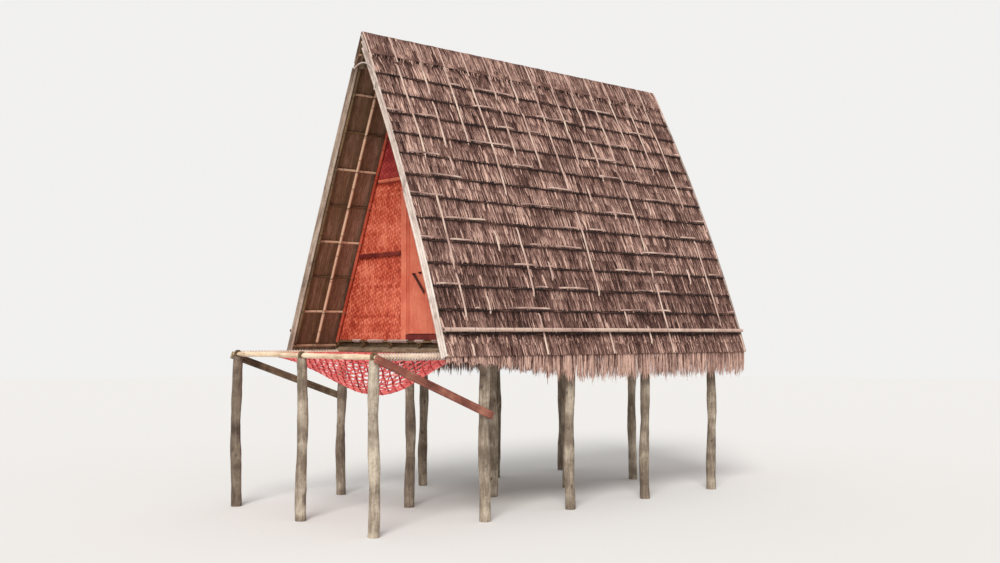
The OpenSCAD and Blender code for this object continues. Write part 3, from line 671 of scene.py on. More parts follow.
# Thatch: a slab with lapped courses, covered with separate blades, and a hanging fringe
thatch = {"courses": 15, "step": 0.014, "along": 100, "wave": 0.006, "laps": 20, "lap": 0.006, "sunk": 0.0034,
          "lip": 0.0035, "endGap": 0.002, "rowsPerCourse": 2, "pitch": 0.0205, "width": (0.012, 0.032),
          "thick": 0.0022, "long": (1.05, 1.7), "overhang": (-0.003, 0.012), "roll": 0.24, "inset": 0.012,
          "leafEndGap": 0.010, "lowDark": 0.15}
fringes = {"pitch": 0.0088, "width": (0.006, 0.016), "thick": 0.0018, "front": 0.060, "middle": 0.290,
           "growth": 2.1, "wave": 0.030, "layers": ((0.003, 0.9), (0.011, 1.0), (0.021, 0.9)),
           "start": (0.945, 0.975), "bend": 0.18}
canes = {"below": 0.0050, "d": -0.0080, "waver": 0.0030, "radius": 0.0086}


def lipT(side):
    # the ridge and the lip of each course: first + (1 - first) c / courses
    first = topT(side, 0.0)
    return first + (1 - first) * np.arange(thatch["courses"] + 1) / thatch["courses"]


def faceHeight(side, t):
    # height of the thatch face: -step at the start of a course, 0 at its lip, and flat on the first course
    lips = lipT(side)
    c = np.clip(np.searchsorted(lips, t, side="right") - 1, 0, thatch["courses"] - 1)
    share = np.clip((t - lips[c]) / (lips[1] - lips[0]), 0, 1)
    return np.where(c == 0, 0.0, -thatch["step"] * (1 - share))


def thatchSlab(side):
    # ring across the slope: course after course on the face, then laps under it; lips wave along the hut
    th = thatch
    lips = lipT(side)
    course = lips[1] - lips[0]
    ring = []   # t, d and kind of each point: 0 on the face, 1 under it
    for c in range(th["courses"]):
        start = 0.0 if c == 0 else -th["step"]
        ring += [(lips[c] + course * v, start * (1 - v) - th["sunk"] - lip, 0)
                 for v, lip in ((0.0, 0), (0.5, 0), (0.96, 0), (1.0, th["lip"]))]
    low = topT(side, -roof["thatch"])
    for c in range(th["laps"], 0, -1):
        ring += [(low + (1 - low) * (c - 1 + v) / th["laps"], -roof["thatch"] + 0.0004 + th["lap"] * deep, 1)
                 for v, deep in ((0.98, 0.0), (0.03, 1.0))]
    t, d, kind = np.array(ring).T
    y = lengthwise(th["endGap"], th["along"])[:, None]
    wave = th["wave"] / chord * (ripple(y, 11 + side, 0.9) + 0.7 * ripple(y, 15 + side, 0.13, 3))
    t = t + wave * ((t > lips[1] - 0.01) & (t < 0.995))
    x, z = slopePoint(side, np.minimum(t, 1.0), d + 0.0012 * (ripple(y, 21, 0.11) - 1) * (kind == 0))
    faces = ringFaces(*t.shape)
    if side < 0:
        faces = [f[:, ::-1] for f in faces]
    grain = np.stack(np.broadcast_arrays(y, d * 0.3, t * chord), -1)
    tone = 0.36 + 0.12 * ripple(y, 31 + side, 1.3) + 0.22 * ripple(y, 33, 0.07) + 0.10 * kind
    # painted shade where the front end of the slab nears the ridge
    tone = tone - 0.5 * np.exp(-y / 0.06) * np.exp(-t / 0.07)   # dark where the front end nears the ridge
    return part(world(x, y, z), faces, grain, tone, np.broadcast_to(kind * 0.5, t.shape))


def blades(side, seed):
    # leaves on the face: t = tip - long (1 - v), y = y0 + slant v, with tips past the lip of their course
    th = thatch
    rng = np.random.default_rng(seed)
    lips = lipT(side)
    course = lips[1] - lips[0]
    grid = (th["courses"], th["rowsPerCourse"], int(roof["length"] / th["pitch"]))
    c, r, i = (v.ravel() for v in np.indices(grid))
    k = len(c)
    tip = lips[c] + course * (r + 1) / th["rowsPerCourse"] + rng.uniform(*th["overhang"], k) / chord
    tip += 0.006 / chord * ripple(i * th["pitch"] + 3 * c, 51, 0.7)
    tip = np.minimum(tip, 1.0015)
    long = course / th["rowsPerCourse"] * rng.uniform(*th["long"], k)
    y0 = within((i + rng.uniform(0, 1, k)) * th["pitch"], th["inset"])
    slant = rng.normal(0, 0.007, k)
    v = np.array([0.0, 0.55, 1.0])
    t = np.maximum(tip[:, None] - long[:, None] * (1 - v), lips[0] + 0.002 + 0.004 * v)
    y = within(y0[:, None] + slant[:, None] * v, th["leafEndGap"])
    ownLip = lips[np.minimum(c + 1, th["courses"])]
    d = faceHeight(side, np.minimum(t, ownLip[:, None] - 1e-5)) - th["sunk"]
    d = d + np.array([-0.0016, 0.0016, 0.0030]) * rng.uniform(0.5, 1.2, (k, 1))
    last = r == th["rowsPerCourse"] - 1
    d = d - np.where(last[:, None] & (v == 1.0), rng.uniform(0, 0.006, (k, 1)), 0)
    width = rng.uniform(*th["width"], k)[:, None] * np.array([0.85, 1.0, 0.35])
    roll = np.clip(rng.normal(0, th["roll"], k), -0.3, 0.3)
    up = np.stack([side * outX * np.cos(roll), np.sin(roll), outZ * np.cos(roll)], -1)[:, None]
    patch = 0.12 * ripple(y0 + 2.7 * c, 61, 1.1) + 0.03 * ripple(y0 + 1.3 * (2 * c + r), 67, 0.12)
    lot = rng.uniform(size=k)
    tone = 0.50 + patch + rng.normal(0, 0.12, k) + 0.26 * (lot < 0.10) - 0.22 * (lot > 0.90)
    tone = tone - th["lowDark"] * np.exp(-((tip - 0.87) / 0.15) ** 2)   # the lower third is darker
    # painted shade and light: the blades darken towards their roots, most in the row just under each lip,
    # where its shadow falls, and lighten towards their tips
    tone = tone[:, None] + np.where(r[:, None] == 0, [-0.62, -0.06, 0.08], [-0.14, 0.02, 0.15])
    tone = tone[..., None] + np.array([0.06, -0.10, 0.0]) * rng.choice([-1, 1], k)[:, None, None]
    return leaves(onSlope(side, t, d, y), up, width, th["thick"], tone, seed)


def fringeLength(y):
    # front + (middle - front) k^2 (3 - 2 k) + wave sin(2900 y) sin(830 y) in degrees; k = y / growth to 1
    f = fringes
    k = np.minimum(1, y / f["growth"])
    return f["front"] + (f["middle"] - f["front"]) * k * k * (3 - 2 * k) + \
        f["wave"] * np.sin(np.radians(2900 * y)) * np.sin(np.radians(830 * y))


def fringe(side, seed):
    # leaves that leave the slope near its foot and hang: x eases to the plumb line, z falls by the length
    f = fringes
    rng = np.random.default_rng(seed)
    hangX, hangZ = slopePoint(side, 1.0, -roof["thatch"])
    hangX = abs(hangX)
    count = int(roof["length"] / f["pitch"])
    v = np.array([0.0, f["bend"], 0.5, 0.8, 1.0])
    fall = np.maximum(v - f["bend"], 0) / (1 - f["bend"])
    ease = np.minimum(v / f["bend"], 1)
    layers = []
    for layer, (depth, share) in enumerate(f["layers"]):
        y0 = within((np.arange(count) + rng.uniform(0, 1, count)) * f["pitch"], thatch["inset"])
        clump = 0.5 + 0.5 * ripple(y0, 70 + layer, 0.16, 4)
        long = fringeLength(y0) * share * (0.80 + 0.26 * clump * rng.uniform(0.3, 1.1, count))
        long = long * np.where(rng.uniform(size=count) < 0.07, 1.12, 1.0)
        sx, sz = slopePoint(side, rng.uniform(*f["start"], count), -0.034 + depth * 1.2)
        x0 = hangX + depth + rng.normal(0, 0.0012, count)
        lean = rng.normal(0, 0.006, count)
        x = np.abs(sx)[:, None] * (1 - ease) + ease * (x0[:, None] + lean[:, None] * fall ** 2)
        z = sz[:, None] * (1 - ease) + ease * (hangZ - 0.004) - long[:, None] * fall
        y = y0[:, None] + rng.normal(0, 0.012, (count, 1)) * fall
        y = within(y + rng.normal(0, 0.006, (count, 1)) * fall ** 2, thatch["leafEndGap"])
        pts = world(side * np.clip(x, hangX - 0.09, hangX + 0.024), y, z)
        width = rng.uniform(*f["width"], count)[:, None] * np.array([0.9, 1.0, 1.0, 0.7, 0.18])
        tone = 0.56 + 0.05 * layer + 0.12 * ripple(y0, 80, 0.5) + 0.06 * ripple(y0, 83, 0.08)
        tone = (tone + rng.normal(0, 0.22, count))[:, None] + np.array([-0.15, -0.08, 0.05, 0.10, 0.04])
        roll = np.clip(rng.normal(0, 0.3, count), -0.6, 0.6)
        up = np.stack([side * np.cos(roll), np.sin(roll), 0.2 + 0 * roll], -1)[:, None]
        layers.append(leaves(pts, up, width, f["thick"], tone, seed + layer))
    return layers


def canesAndLipShade(side):
    # thin dark canes that hold each course, just below its lip, and with them painted shade: they are dark
    # to stand for the shadow under each lip; t = lip + wave, d follows the next course
    parts = []
    y = lengthwise(0.004, 100)
    for c, t in enumerate(lipT(side)[1:-1]):
        t = t + canes["below"] + 0.0012 * ripple(y, 1500 + 3 * c + side, 1.9)
        t = t + 0.0006 * ripple(y, 1530 + c, 0.2)
        d = canes["d"] + canes["waver"] * ripple(y, 1560 + 5 * c + side, 0.8, 4)
        r = canes["radius"] * (1 + 0.1 * ripple(y, 1590 + c, 0.1))
        parts.append(sweep(onSlope(side, t, d, y), alongY, outward(side), ringOutline(r, 5),
                           0.4 + 0.3 * ripple(y, 1600 + c, 0.6), seed=1610 + c))
    return parts


for side, name in slopes:
    makePiece("thatch_canes_and_lip_shade_" + name, canesAndLipShade(side), "cane")
    makePiece("thatch_slab_" + name, [thatchSlab(side)], "thatch", "thatch_" + name)
    makePiece("thatch_leaves_" + name, [blades(side, 500 + side)], "thatch")
    makePiece("thatch_fringe_" + name, fringe(side, 600 + 10 * side), "thatch")
print("thatch made")


# Outside lattice of split bamboo, eaves poles, ridge cap and verge boards
lattice = {"down": 15, "firstStrip": 2, "width": 0.030, "thick": 0.007, "drift": 0.006, "eavesAt": 0.93,
           "eavesR": 0.0222, "eavesD": 0.0321, "dip": 0.027, "edgePart": 0.12, "topPart": 0.36,
           "edgeShare": 2.0, "topShare": 0.85, "wholeShare": 0.5, "lowShare": -0.8, "alongShare": -0.28}
ridge = {"reach": 0.07, "top": 0.0140, "low": 0.0078, "soft": 0.009, "lumps": 0.0052, "leaves": 860,
         "tips": [0.028, 0.052, 0.078], "width": (0.009, 0.024), "thick": 0.002, "startD": 0.0146,
         "bandReach": 0.086, "bandThick": 0.0055, "bandWidth": 0.021}
verge = {"low": -0.0937, "high": 0.0093, "strips": 3, "thick": 0.0142, "joint": 0.49, "slim": 0.8,
         "leftTop": 0.09}
hoop = {"radius": 0.254, "x": 0.030, "z": 4.62, "y": -0.0216, "drop": 0.08, "reach": 0.115, "thick": 0.0112,
        "width": 0.0150}


def knobs(s, shift, pitch, width):
    # 1 at the rings of a culm, every pitch along it: exp(-((s + shift) mod pitch - middle)^2 / width^2)
    return np.exp(-(((s + shift) % pitch[0] - pitch[1]) / width) ** 2)


def stripY(i):
    # middles of the strips down a slope, from verge to verge
    return i * (roof["length"] - lattice["width"]) / (lattice["down"] - 1) + lattice["width"] / 2


def stripWave(s, seed, share):
    # 1 where a strip shows, easing to 0 where it slips under the leaves; share sets how much of it shows
    return 1 / (1 + np.exp(-14 * (ripple(s, seed, 1.6, 4) + share)))


def makeLattice(side, name):
    # strips down the slope and strips along it; d = top - dip (1 - show), so that they slip under the leaves
    la = lattice
    parts = []
    t0 = topT(side, 0.0035)
    for i in range(la["down"]):
        atEdge = i in (0, la["down"] - 1)
        curve, far = downSlope(side, 0.0, stripY(i), t0, 1.0, 0 if atEdge else la["drift"], 910 + i)
        s = np.linspace(0, far - 0.002, 80)
        top, shown = (la["edgePart"], la["edgeShare"]) if atEdge else (la["topPart"], la["topShare"])
        low = la["wholeShare"] if i % 3 == 1 else la["lowShare"]   # every third strip shows all the way down
        show = stripWave(s, 920 + 7 * i + side, np.where(s < far * top, shown, low))
        pts = curve(s)
        pts[:, 0], pts[:, 2] = slopePoint(side, t0 + (1 - t0) * s / far, 0.0003 - la["dip"] * (1 - show))
        knob = 1 + 0.06 * knobs(s, 0.07 * i, (0.34, 0.17), 0.008)
        out = archOutline(la["thick"], la["width"] * 0.82, 7) * knob[:, None, None]
        tone = 0.64 + 0.16 * ripple(s, i, 0.8)
        parts.append(sweep(pts, tangentsOf(curve, s), outward(side), out, tone, seed=930 + i))
    for i in range(la["firstStrip"], thatch["courses"] - 1):
        t = lipT(side)[i] - la["width"] / chord / 2
        s = lengthwise(0.001, 100)
        show = stripWave(s, 960 + 5 * i + side, la["alongShare"])
        pts = onSlope(side, t + 0.0012 * ripple(s, 970 + i, 1.7), 0.0022 - la["dip"] * (1 - show), s)
        parts.append(sweep(pts, alongY, outward(side), archOutline(la["thick"], la["width"] * 0.72, 7),
                           0.46 + 0.26 * ripple(s, 980 + i, 0.9), seed=990 + i))
    makePiece("roof_strips_" + name, parts, "strip", "roof_lattice_" + name)
    x, z = slopePoint(side, la["eavesAt"], la["eavesD"])
    pole = culm(alongHut(x, 0, roof["length"], z), la["eavesR"], 1010 + side, alongZ, 0.62)
    makePiece("eaves_pole_" + name, [pole], "strip")


def makeRidge():
    # folded sheet over the ridge: q runs from the left reach over the ridge to the right one
    r = ridge
    q = np.linspace(-1, 1, 25)
    y = lengthwise(0.001, 110)[:, None]

    def layer(d):
        xs, zs = np.empty(len(q)), np.empty(len(q))
        for side, on in ((left, q < 0), (right, q >= 0)):
            t0 = topT(side, d)
            xs[on], zs[on] = slopePoint(side, t0 + (r["reach"] - t0) * np.abs(q[on]), d)
        return xs, zs - r["soft"] * np.exp(-(q / 0.07) ** 2)
    x1, z1 = layer(r["top"])
    x0, z0 = layer(r["low"])
    wavy = 0.0012 * ripple(y, 7, 0.17) * np.abs(q)
    lumps = r["lumps"] * np.maximum(0, ripple(y, 9, 0.34, 6)) * np.exp(-(q / 0.16) ** 2)
    ring = [world(x1, y, z1 + wavy + lumps - 0.0008), world(x0[::-1], y, z0[::-1])]
    ring = np.concatenate(ring, 1)
    grain = np.stack(np.broadcast_arrays(y, 0 * y, np.concatenate([q, q[::-1]])[None] * 0.27), -1)
    tone = 0.45 + 0.2 * ripple(y, 17, 0.06) + 0.1 * ripple(y, 19, 0.8) + 0 * ring[..., 0]
    slab = part(ring, ringFaces(*ring.shape[:2]), grain, tone)
    makePiece("ridge_cover", [slab], "thatch", "ridge_cap")

    # leaves folded over the ridge: t from just under it to a ragged edge, d rising to the face of the cover;
    # over them, a short band at the top of each strip of the lattice
    folded, bands = [], []
    for side in (left, right):
        rng = np.random.default_rng(1300 + side)
        k = r["leaves"]
        y0 = rng.uniform(0.014, roof["length"] - 0.014, k)
        tip = rng.choice(r["tips"], k) + rng.uniform(-0.004, 0.010, k)
        v = np.array([0.0, 0.5, 1.0])
        start = topT(side, r["startD"]) + 0.004 + 0.4 * np.maximum(tip - 0.03, 0)
        t = start[:, None] + (tip - start)[:, None] * v
        d = 0.0138 + np.array([-0.001, 0.0022, 0.0034]) * rng.uniform(0.6, 1.1, (k, 1))
        d = d - 0.0150 * np.clip((t - 0.066) / 0.014, 0, 1)   # the longest tips come down on the thatch
        pts = onSlope(side, t, d, y0[:, None] + rng.normal(0, 0.005, (k, 1)) * v)
        width = rng.uniform(*r["width"], k)[:, None] * np.array([1.0, 1.0, 0.4])
        shade = 0.48 + rng.normal(0, 0.19, k)[:, None] + np.array([-0.12, 0, 0.12])
        folded.append(leaves(pts, outward(side), width, r["thick"], shade, 1310 + side))
        t0 = topT(side, r["startD"])
        v = np.linspace(0, 1, 12)
        for i in range(lattice["down"]):
            t, d = t0 + 0.003 + (r["bandReach"] - t0) * v, 0.0105 + 0.0065 * np.minimum(v * 5, 1)
            pts = onSlope(side, t, d, stripY(i) + 0.004 * np.sin(7.0 * i))
            bands.append(sweep(pts, None, outward(side), archOutline(r["bandThick"], r["bandWidth"], 7),
                               0.55 + 0.12 * math.sin(2.0 * i), finish=1, seed=1320 + i))
    makePiece("ridge_leaves", folded + bands, "thatch strip")


def makeVerge(side, name):
    # three half-round strips side by side; on the right front, d = high - (high - own d) k, with k from slim
    # above the joint of its two lengths to 1 below it
    ve = verge
    parts = []
    wide = (ve["high"] - ve["low"]) / ve["strips"]
    for end, y, face in (("front", -roof["gap"], -1), ("rear", roof["length"] + roof["gap"], 1)):
        for i in range(ve["strips"]):
            d = ve["low"] + wide * (i + 0.5)
            t0 = ve["leftTop"] + 0.006 * i if side == left and end == "front" else topT(side, d) + 0.001
            curve, far = downSlope(side, d, y, t0, 1.0)
            s = np.linspace(0, far, 80)
            knob = np.minimum(1 + 0.05 * knobs(s, 0.11 * i, (0.36, 0.18), 0.008), 1.035)
            out = archOutline(ve["thick"], wide * 0.965, 9) * knob[:, None, None]
            pts = curve(s)
            tone = 0.5 + (0.14 if i == 0 else 0.02) + 0.10 * ripple(s, 50 + i + side, 0.9)
            mark = 0.55 * knobs(s, 0.11 * i, (0.36, 0.17), 0.006)
            if side == right and end == "front":
                joint = ve["joint"] * far
                k = ve["slim"] + (1 - ve["slim"]) / (1 + np.exp(-(s / far - ve["joint"]) / 0.004))
                pts = onSlope(side, t0 + (1 - t0) * s / far, ve["high"] - (ve["high"] - d) * k, y)
                out = out * np.stack([0 * k + 1, k], -1)[:, None]
                tone = tone + 0.16 * (s > joint)
                mark = mark + 0.8 * np.exp(-((s - joint) / 0.035) ** 2)
            # painted shade: the left front strips darken towards their top end, near the ridge
            if side == left and end == "front":
                tone = tone - 0.45 * np.exp(-s / 0.25)
            parts.append(sweep(pts, tangentsOf(curve, s), (0, face, 0), out, tone, mark, seed=1100 + i))
    kind = "pale" if side > 0 else "grey"
    makePiece("verge_strips_" + name, parts, kind, "verge_boards_" + name)


def makeHoop():
    # part circle (x + r cos a, z + r sin a) from 80 mm under its middle on the right to the left verge board
    h = hoop
    r = h["radius"]
    a = np.linspace(-math.asin(h["drop"] / r) + 0.01, math.acos((-h["reach"] - h["x"]) / r) - 0.03, 48)
    pts = world(h["x"] + r * np.cos(a), h["y"], h["z"] + r * np.sin(a))
    strip = sweep(pts, None, towardsFront, boxOutline(h["thick"], h["width"]), 0.6 + 0.1 * ripple(a, 3, 1.0),
                  seed=5)
    makePiece("gable_hoop_strip", [strip], "pale", "gable_hoop")


for side, name in slopes:
    makeLattice(side, name)
    makeVerge(side, name)
makeRidge()
makeHoop()
print("lattice and edges made")


# Walls of woven mat, painted; the heights are those of the floor, the left rail and the tie pole
walls = {"pitch": 0.034, "relief": 0.0036, "gableRelief": 0.0022, "sample": 0.0093, "rearSample": 0.0145,
         "front": (0.6205, 0.6397), "rear": (4.3895, 4.3703), "edge": 0.012,
         "floorZ": 1.8506, "railZ": 2.832, "jambTop": 3.6564, "rightTop": 3.6180, "tieZ": 3.682,
         "gableZ": 3.7076, "seamZ": 4.2, "jambX": -0.0836, "rightX": 0.6936,
         "slatY": (0.5985, 0.6200), "slatZ": (2.8095, 2.8545), "battenY": (4.3893, 4.4115),
         "battenHalf": 0.0222, "tieY": 0.63, "tieR": 0.0247, "frameY": (0.6082, 0.6518),
         "sillX": (0.0086, 0.6474), "sillZ": (1.8504, 1.9151),
         "jambs": (("left", (-0.0828, 0.0078), 3.6564), ("right", (0.6484, 0.6928), 3.615))}


def weave(x, z, pitch, relief, pickShare):
    # twill: the larger of relief sin(pi (b + floor a) / 2) and -relief sin(pi (floor b + a) / 2), with
    # a = x / pitch and b = z / pitch
    a, b = x / pitch, z / pitch
    fa, fb = a - np.floor(a), b - np.floor(b)
    up = np.sin(np.pi * (b + np.floor(a)) / 2) * (1 - 0.55 * np.abs(2 * fa - 1) ** 4)
    across = -np.sin(np.pi * (np.floor(b) + a) / 2) * (1 - 0.55 * np.abs(2 * fb - 1) ** 4)
    pick = np.random.default_rng(77).normal(0, pickShare, 400)
    own = lambda v: np.floor(v).astype(int) % 200
    strip = np.where(up > across, pick[own(a)], pick[200 + own(b)])
    return relief * np.maximum(up, across), strip


def matPanel(xLow, xHigh, z0, z1, depth, relief=walls["relief"], sample=walls["sample"], pitch=walls["pitch"],
             tone=0.5, pickShare=0.055, weaveShading=0.30):
    # x from xLow to xHigh, each a number or a function of z; y = face minus the weave; painted shade under
    # its top edge, and the raised strands of the weave painted lighter and its hollows darker
    face, back = depth
    z = np.linspace(z0, z1, max(2, int((z1 - z0) / sample)))
    lo, hi = (e(z) if callable(e) else np.full(len(z), e) for e in (xLow, xHigh))
    x = lo[:, None] + (hi - lo)[:, None] * np.linspace(0, 1, max(3, int(np.max(hi - lo) / sample)))
    z = np.broadcast_to(z[:, None], x.shape)
    across, up = x + 0.004 * ripple(z, 5, 0.8), z + 0.005 * ripple(x, 6, 0.6)
    lift, strip = weave(across, up, pitch, relief, pickShare)
    co = world(x, face + (1 if back > face else -1) * (relief - lift), z)
    # painted light and shade: the raised strands lighter and the hollows darker, and painted shade under the
    # top edge, where the piece above laps over it
    shade = tone + 1.6 * strip + weaveShading * ((lift / relief) ** 3 - 0.13) - 0.7 * np.exp((z - z1) / 0.03)
    return gridPanel(co, back + frontY, back < face, shade)


def boardPart(x, y, z, tone=0.5, finish=0, seed=0):
    # rounded board between two corners, each pair from low to high, swept along its longer way
    wide, deep, high = x[1] - x[0], y[1] - y[0], z[1] - z[0]
    midX, midY, midZ = sum(x) / 2, sum(y) / 2, sum(z) / 2
    shade = tone + 0.08 * ripple(np.linspace(0, 2, 24), seed, 0.7)
    if high > wide:
        pts, out, line, up = world(midX, midY, np.linspace(*z, 24)), (deep, wide), alongZ, towardsFront
    else:
        pts, out, line, up = world(np.linspace(*x, 24), midY, midZ), (high, deep), alongX, alongZ
    return sweep(pts, line, up, boxOutline(*out, 12, 0.16), shade, finish=finish, seed=seed)


def makeWalls():
    w = walls
    edges = [lambda z, side=side: slopeX(side, z, wallD + 0.0008) for side in (left, right)]
    inside = lambda side, z: slopeX(side, z, insideD) - side * w["edge"]
    peak = crossing(wallD)[1] - w["edge"]
    panels = [matPanel(edges[0], w["jambX"], z0, z1, w["front"])
              for z0, z1 in ((w["floorZ"], w["railZ"]), (w["railZ"], w["jambTop"]))]
    # the slat between the lower and upper mat takes the dark sill finish: a real slat, painted dark partly as
    # shade for the lap between the mats
    slat = boardPart((inside(left, w["railZ"]), w["jambX"]), w["slatY"], w["slatZ"], 0.45, 1, 4)
    makePiece("front_mat_left", panels + [slat], "mat sill", "front_wall_left")
    panel = matPanel(w["rightX"], edges[1], w["floorZ"], w["rightTop"], w["front"])
    makePiece("front_mat_right", [panel], "mat", "front_wall_right")
    # painted shade: the upper gable panel, under the apex, is darker than the lower one
    gable = [matPanel(*edges, z0, z1, w["front"], relief=w["gableRelief"], tone=tone)
             for z0, z1, tone in ((w["gableZ"], w["seamZ"], 0.60), (w["seamZ"], peak, 0.42))]
    makePiece("front_gable_mat", gable, "gable", "front_gable")
    parts = [matPanel(*edges, z0, z1, w["rear"], sample=w["rearSample"])
             for z0, z1 in ((w["floorZ"], w["railZ"]), (w["railZ"], w["tieZ"]), (w["tieZ"], peak))]
    for z in (w["railZ"], w["tieZ"]):
        batten = (inside(left, z), inside(right, z)), w["battenY"], (z - w["battenHalf"], z + w["battenHalf"])
        parts.append(boardPart(*batten, finish=1, seed=6))
    makePiece("rear_mat", parts, "mat paint", "rear_wall")
    ends = [world(corner.x, w["tieY"], w["tieZ"]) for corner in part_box("front_tie_pole")]
    tie = culm(straight(*ends), w["tieR"], 1200, alongZ, 0.62)
    makePiece("tie_culm", [tie], "paint", "front_tie_pole")
    for name, x, high in w["jambs"]:
        board = boardPart(x, w["frameY"], (w["sillZ"][0], high), 0.62, seed=7)
        makePiece("jamb_board_" + name, [board], "paint", "door_jamb_" + name)
    board = boardPart(w["sillX"], w["frameY"], w["sillZ"], seed=8)
    makePiece("threshold_board", [board], "sill", "threshold")


# profiles are pairs of distance and radius: the stile with its two pins, and a rounded peg
door = {"bottom": 1.9235, "top": 3.6488, "y": (0.6204, 0.6398), "stiles": ((0.040, 0.106), (0.5702, 0.6398)),
        "railX": (0.10, 0.575), "railY": (0.6206, 0.6396), "rails": (0.0, 0.8279, 1.6557), "railHigh": 0.0697,
        "sheets": ((0.0555, 0.0795, 0.42), (0.0802, 0.6396, 0.58)), "sheetY": (0.6112, 0.6208),
        "sheetRelief": 0.0003, "sheetSample": 0.014, "sheetPitch": 0.05, "pivotX": 0.036, "pivotY": 0.63,
        "stileFoot": 1.9233, "stileProfile": (
            (-0.026, 0.0080), (-0.026, 0.0098), (-0.001, 0.0098), (0, 0.0098), (0, 0.0180), (0.004, 0.0197),
            (0.9, 0.0194), (1.7217, 0.0197), (1.7257, 0.0180), (1.7257, 0.0098), (1.7267, 0.0098),
            (1.7517, 0.0098), (1.7517, 0.0080))}
latch = {"pegs": ((0.174, 2.582), (0.286, 2.593)), "y": 0.6107, "pegLong": 0.034, "pegProfile": (
             (0, 0.010), (0, 0.0115), (0.004, 0.0118), (0.02, 0.0114), (0.030, 0.0116), (0.034, 0.0098),
             (0.034, 0.006)),
         "barLong": 0.28, "barAngle": 48, "barDepth": 0.0155, "barThick": 0.0136, "barWide": 0.0255}


def makeDoor():
    d = door
    curve = lambda v: world(d["pivotX"], d["pivotY"], d["stileFoot"] + v)
    parts = [turned(curve, d["stileProfile"], 20, alongX, 6)]
    parts += [boardPart(x, d["y"], (d["bottom"], d["top"]), seed=i + 1) for i, x in enumerate(d["stiles"])]
    for z in d["rails"]:
        ends = d["bottom"] + z, d["bottom"] - 0.0002 + z + d["railHigh"]
        parts.append(boardPart(d["railX"], d["railY"], ends, seed=3))
    parts += [matPanel(x0, x1, d["bottom"] + 0.0001, d["top"] - 0.0001, d["sheetY"], d["sheetRelief"],
                       d["sheetSample"], d["sheetPitch"], tone, 0.008, 0.02) for x0, x1, tone in d["sheets"]]
    makePiece("door_boards", parts, "paint", "door_leaf", "door")

    # the latch: two pegs, and a bar that slants down from the first
    la = latch
    parts = []
    for x, z in la["pegs"]:
        curve, _ = straight(world(x, la["y"], z), world(x, la["y"] - la["pegLong"], z))
        parts.append(turned(curve, la["pegProfile"], 16, alongZ, 2))
    c, s = math.cos(math.radians(la["barAngle"])), math.sin(math.radians(la["barAngle"]))
    x, z = la["pegs"][0]
    run = np.linspace(0, la["barLong"], 16)
    parts.append(sweep(world(x + run * c, la["y"] - la["barDepth"], z - run * s), (c, 0, -s), towardsFront,
                       boxOutline(la["barThick"], la["barWide"], 12, 0.25), 0.45, seed=3))
    makePiece("latch_bar_and_pegs", parts, "dark", "door_latch", "door")


makeWalls()
makeDoor()
print("walls and door made")


# Net deck: pole frame, knotted net, lacing and braces
net = {"halfCols": 46, "rows": 24, "ropeR": 0.0078, "knotR": 0.0125, "hemR": 0.009, "x": 1.2922,
       "y0": -0.7152, "y1": 0.5947, "z": 1.697, "sag": 0.410, "shift": 1.6, "slack": 0.0035,
       "scatter": (0.007, 0.007, 0.003)}
poles = {"radius": 0.0262, "reach": 1.374, "railLong": 1.3099, "laceY": (-0.70, 0.585), "laceRadius": 0.0325,
         "laceRope": 0.0066, "lacePitch": 0.036}
ties = {"rope": 0.0036, "turns": 4, "netAt": 1.682, "netRadii": (0.062, 0.036), "beamAt": 1.690,
        "beamRadii": (0.070, 0.0610), "rafterRope": 0.0022, "rafterTurns": 3, "rafterRadii": (0.023, 0.0375),
        "edgeY": 0.600, "edgeZ": 1.838, "edgeRadius": 0.0150, "edgePitch": 0.026,
        "edge": ((-1.00, -0.86), (-0.70, -0.40), (-0.30, 0.06), (0.20, 0.34), (0.50, 0.82), (0.98, 1.12))}


def netPoint(u, v):
    # z = level - sag sin(pi u^shift) sin(pi v)^1.5
    n = net
    u, v = np.clip(u, 0, 1), np.clip(v, 0, 1)
    return world(-n["x"] + 2 * n["x"] * u, n["y0"] + (n["y1"] - n["y0"]) * v,
                 n["z"] - n["sag"] * np.sin(np.pi * u ** n["shift"]) * np.abs(np.sin(np.pi * v)) ** 1.5)


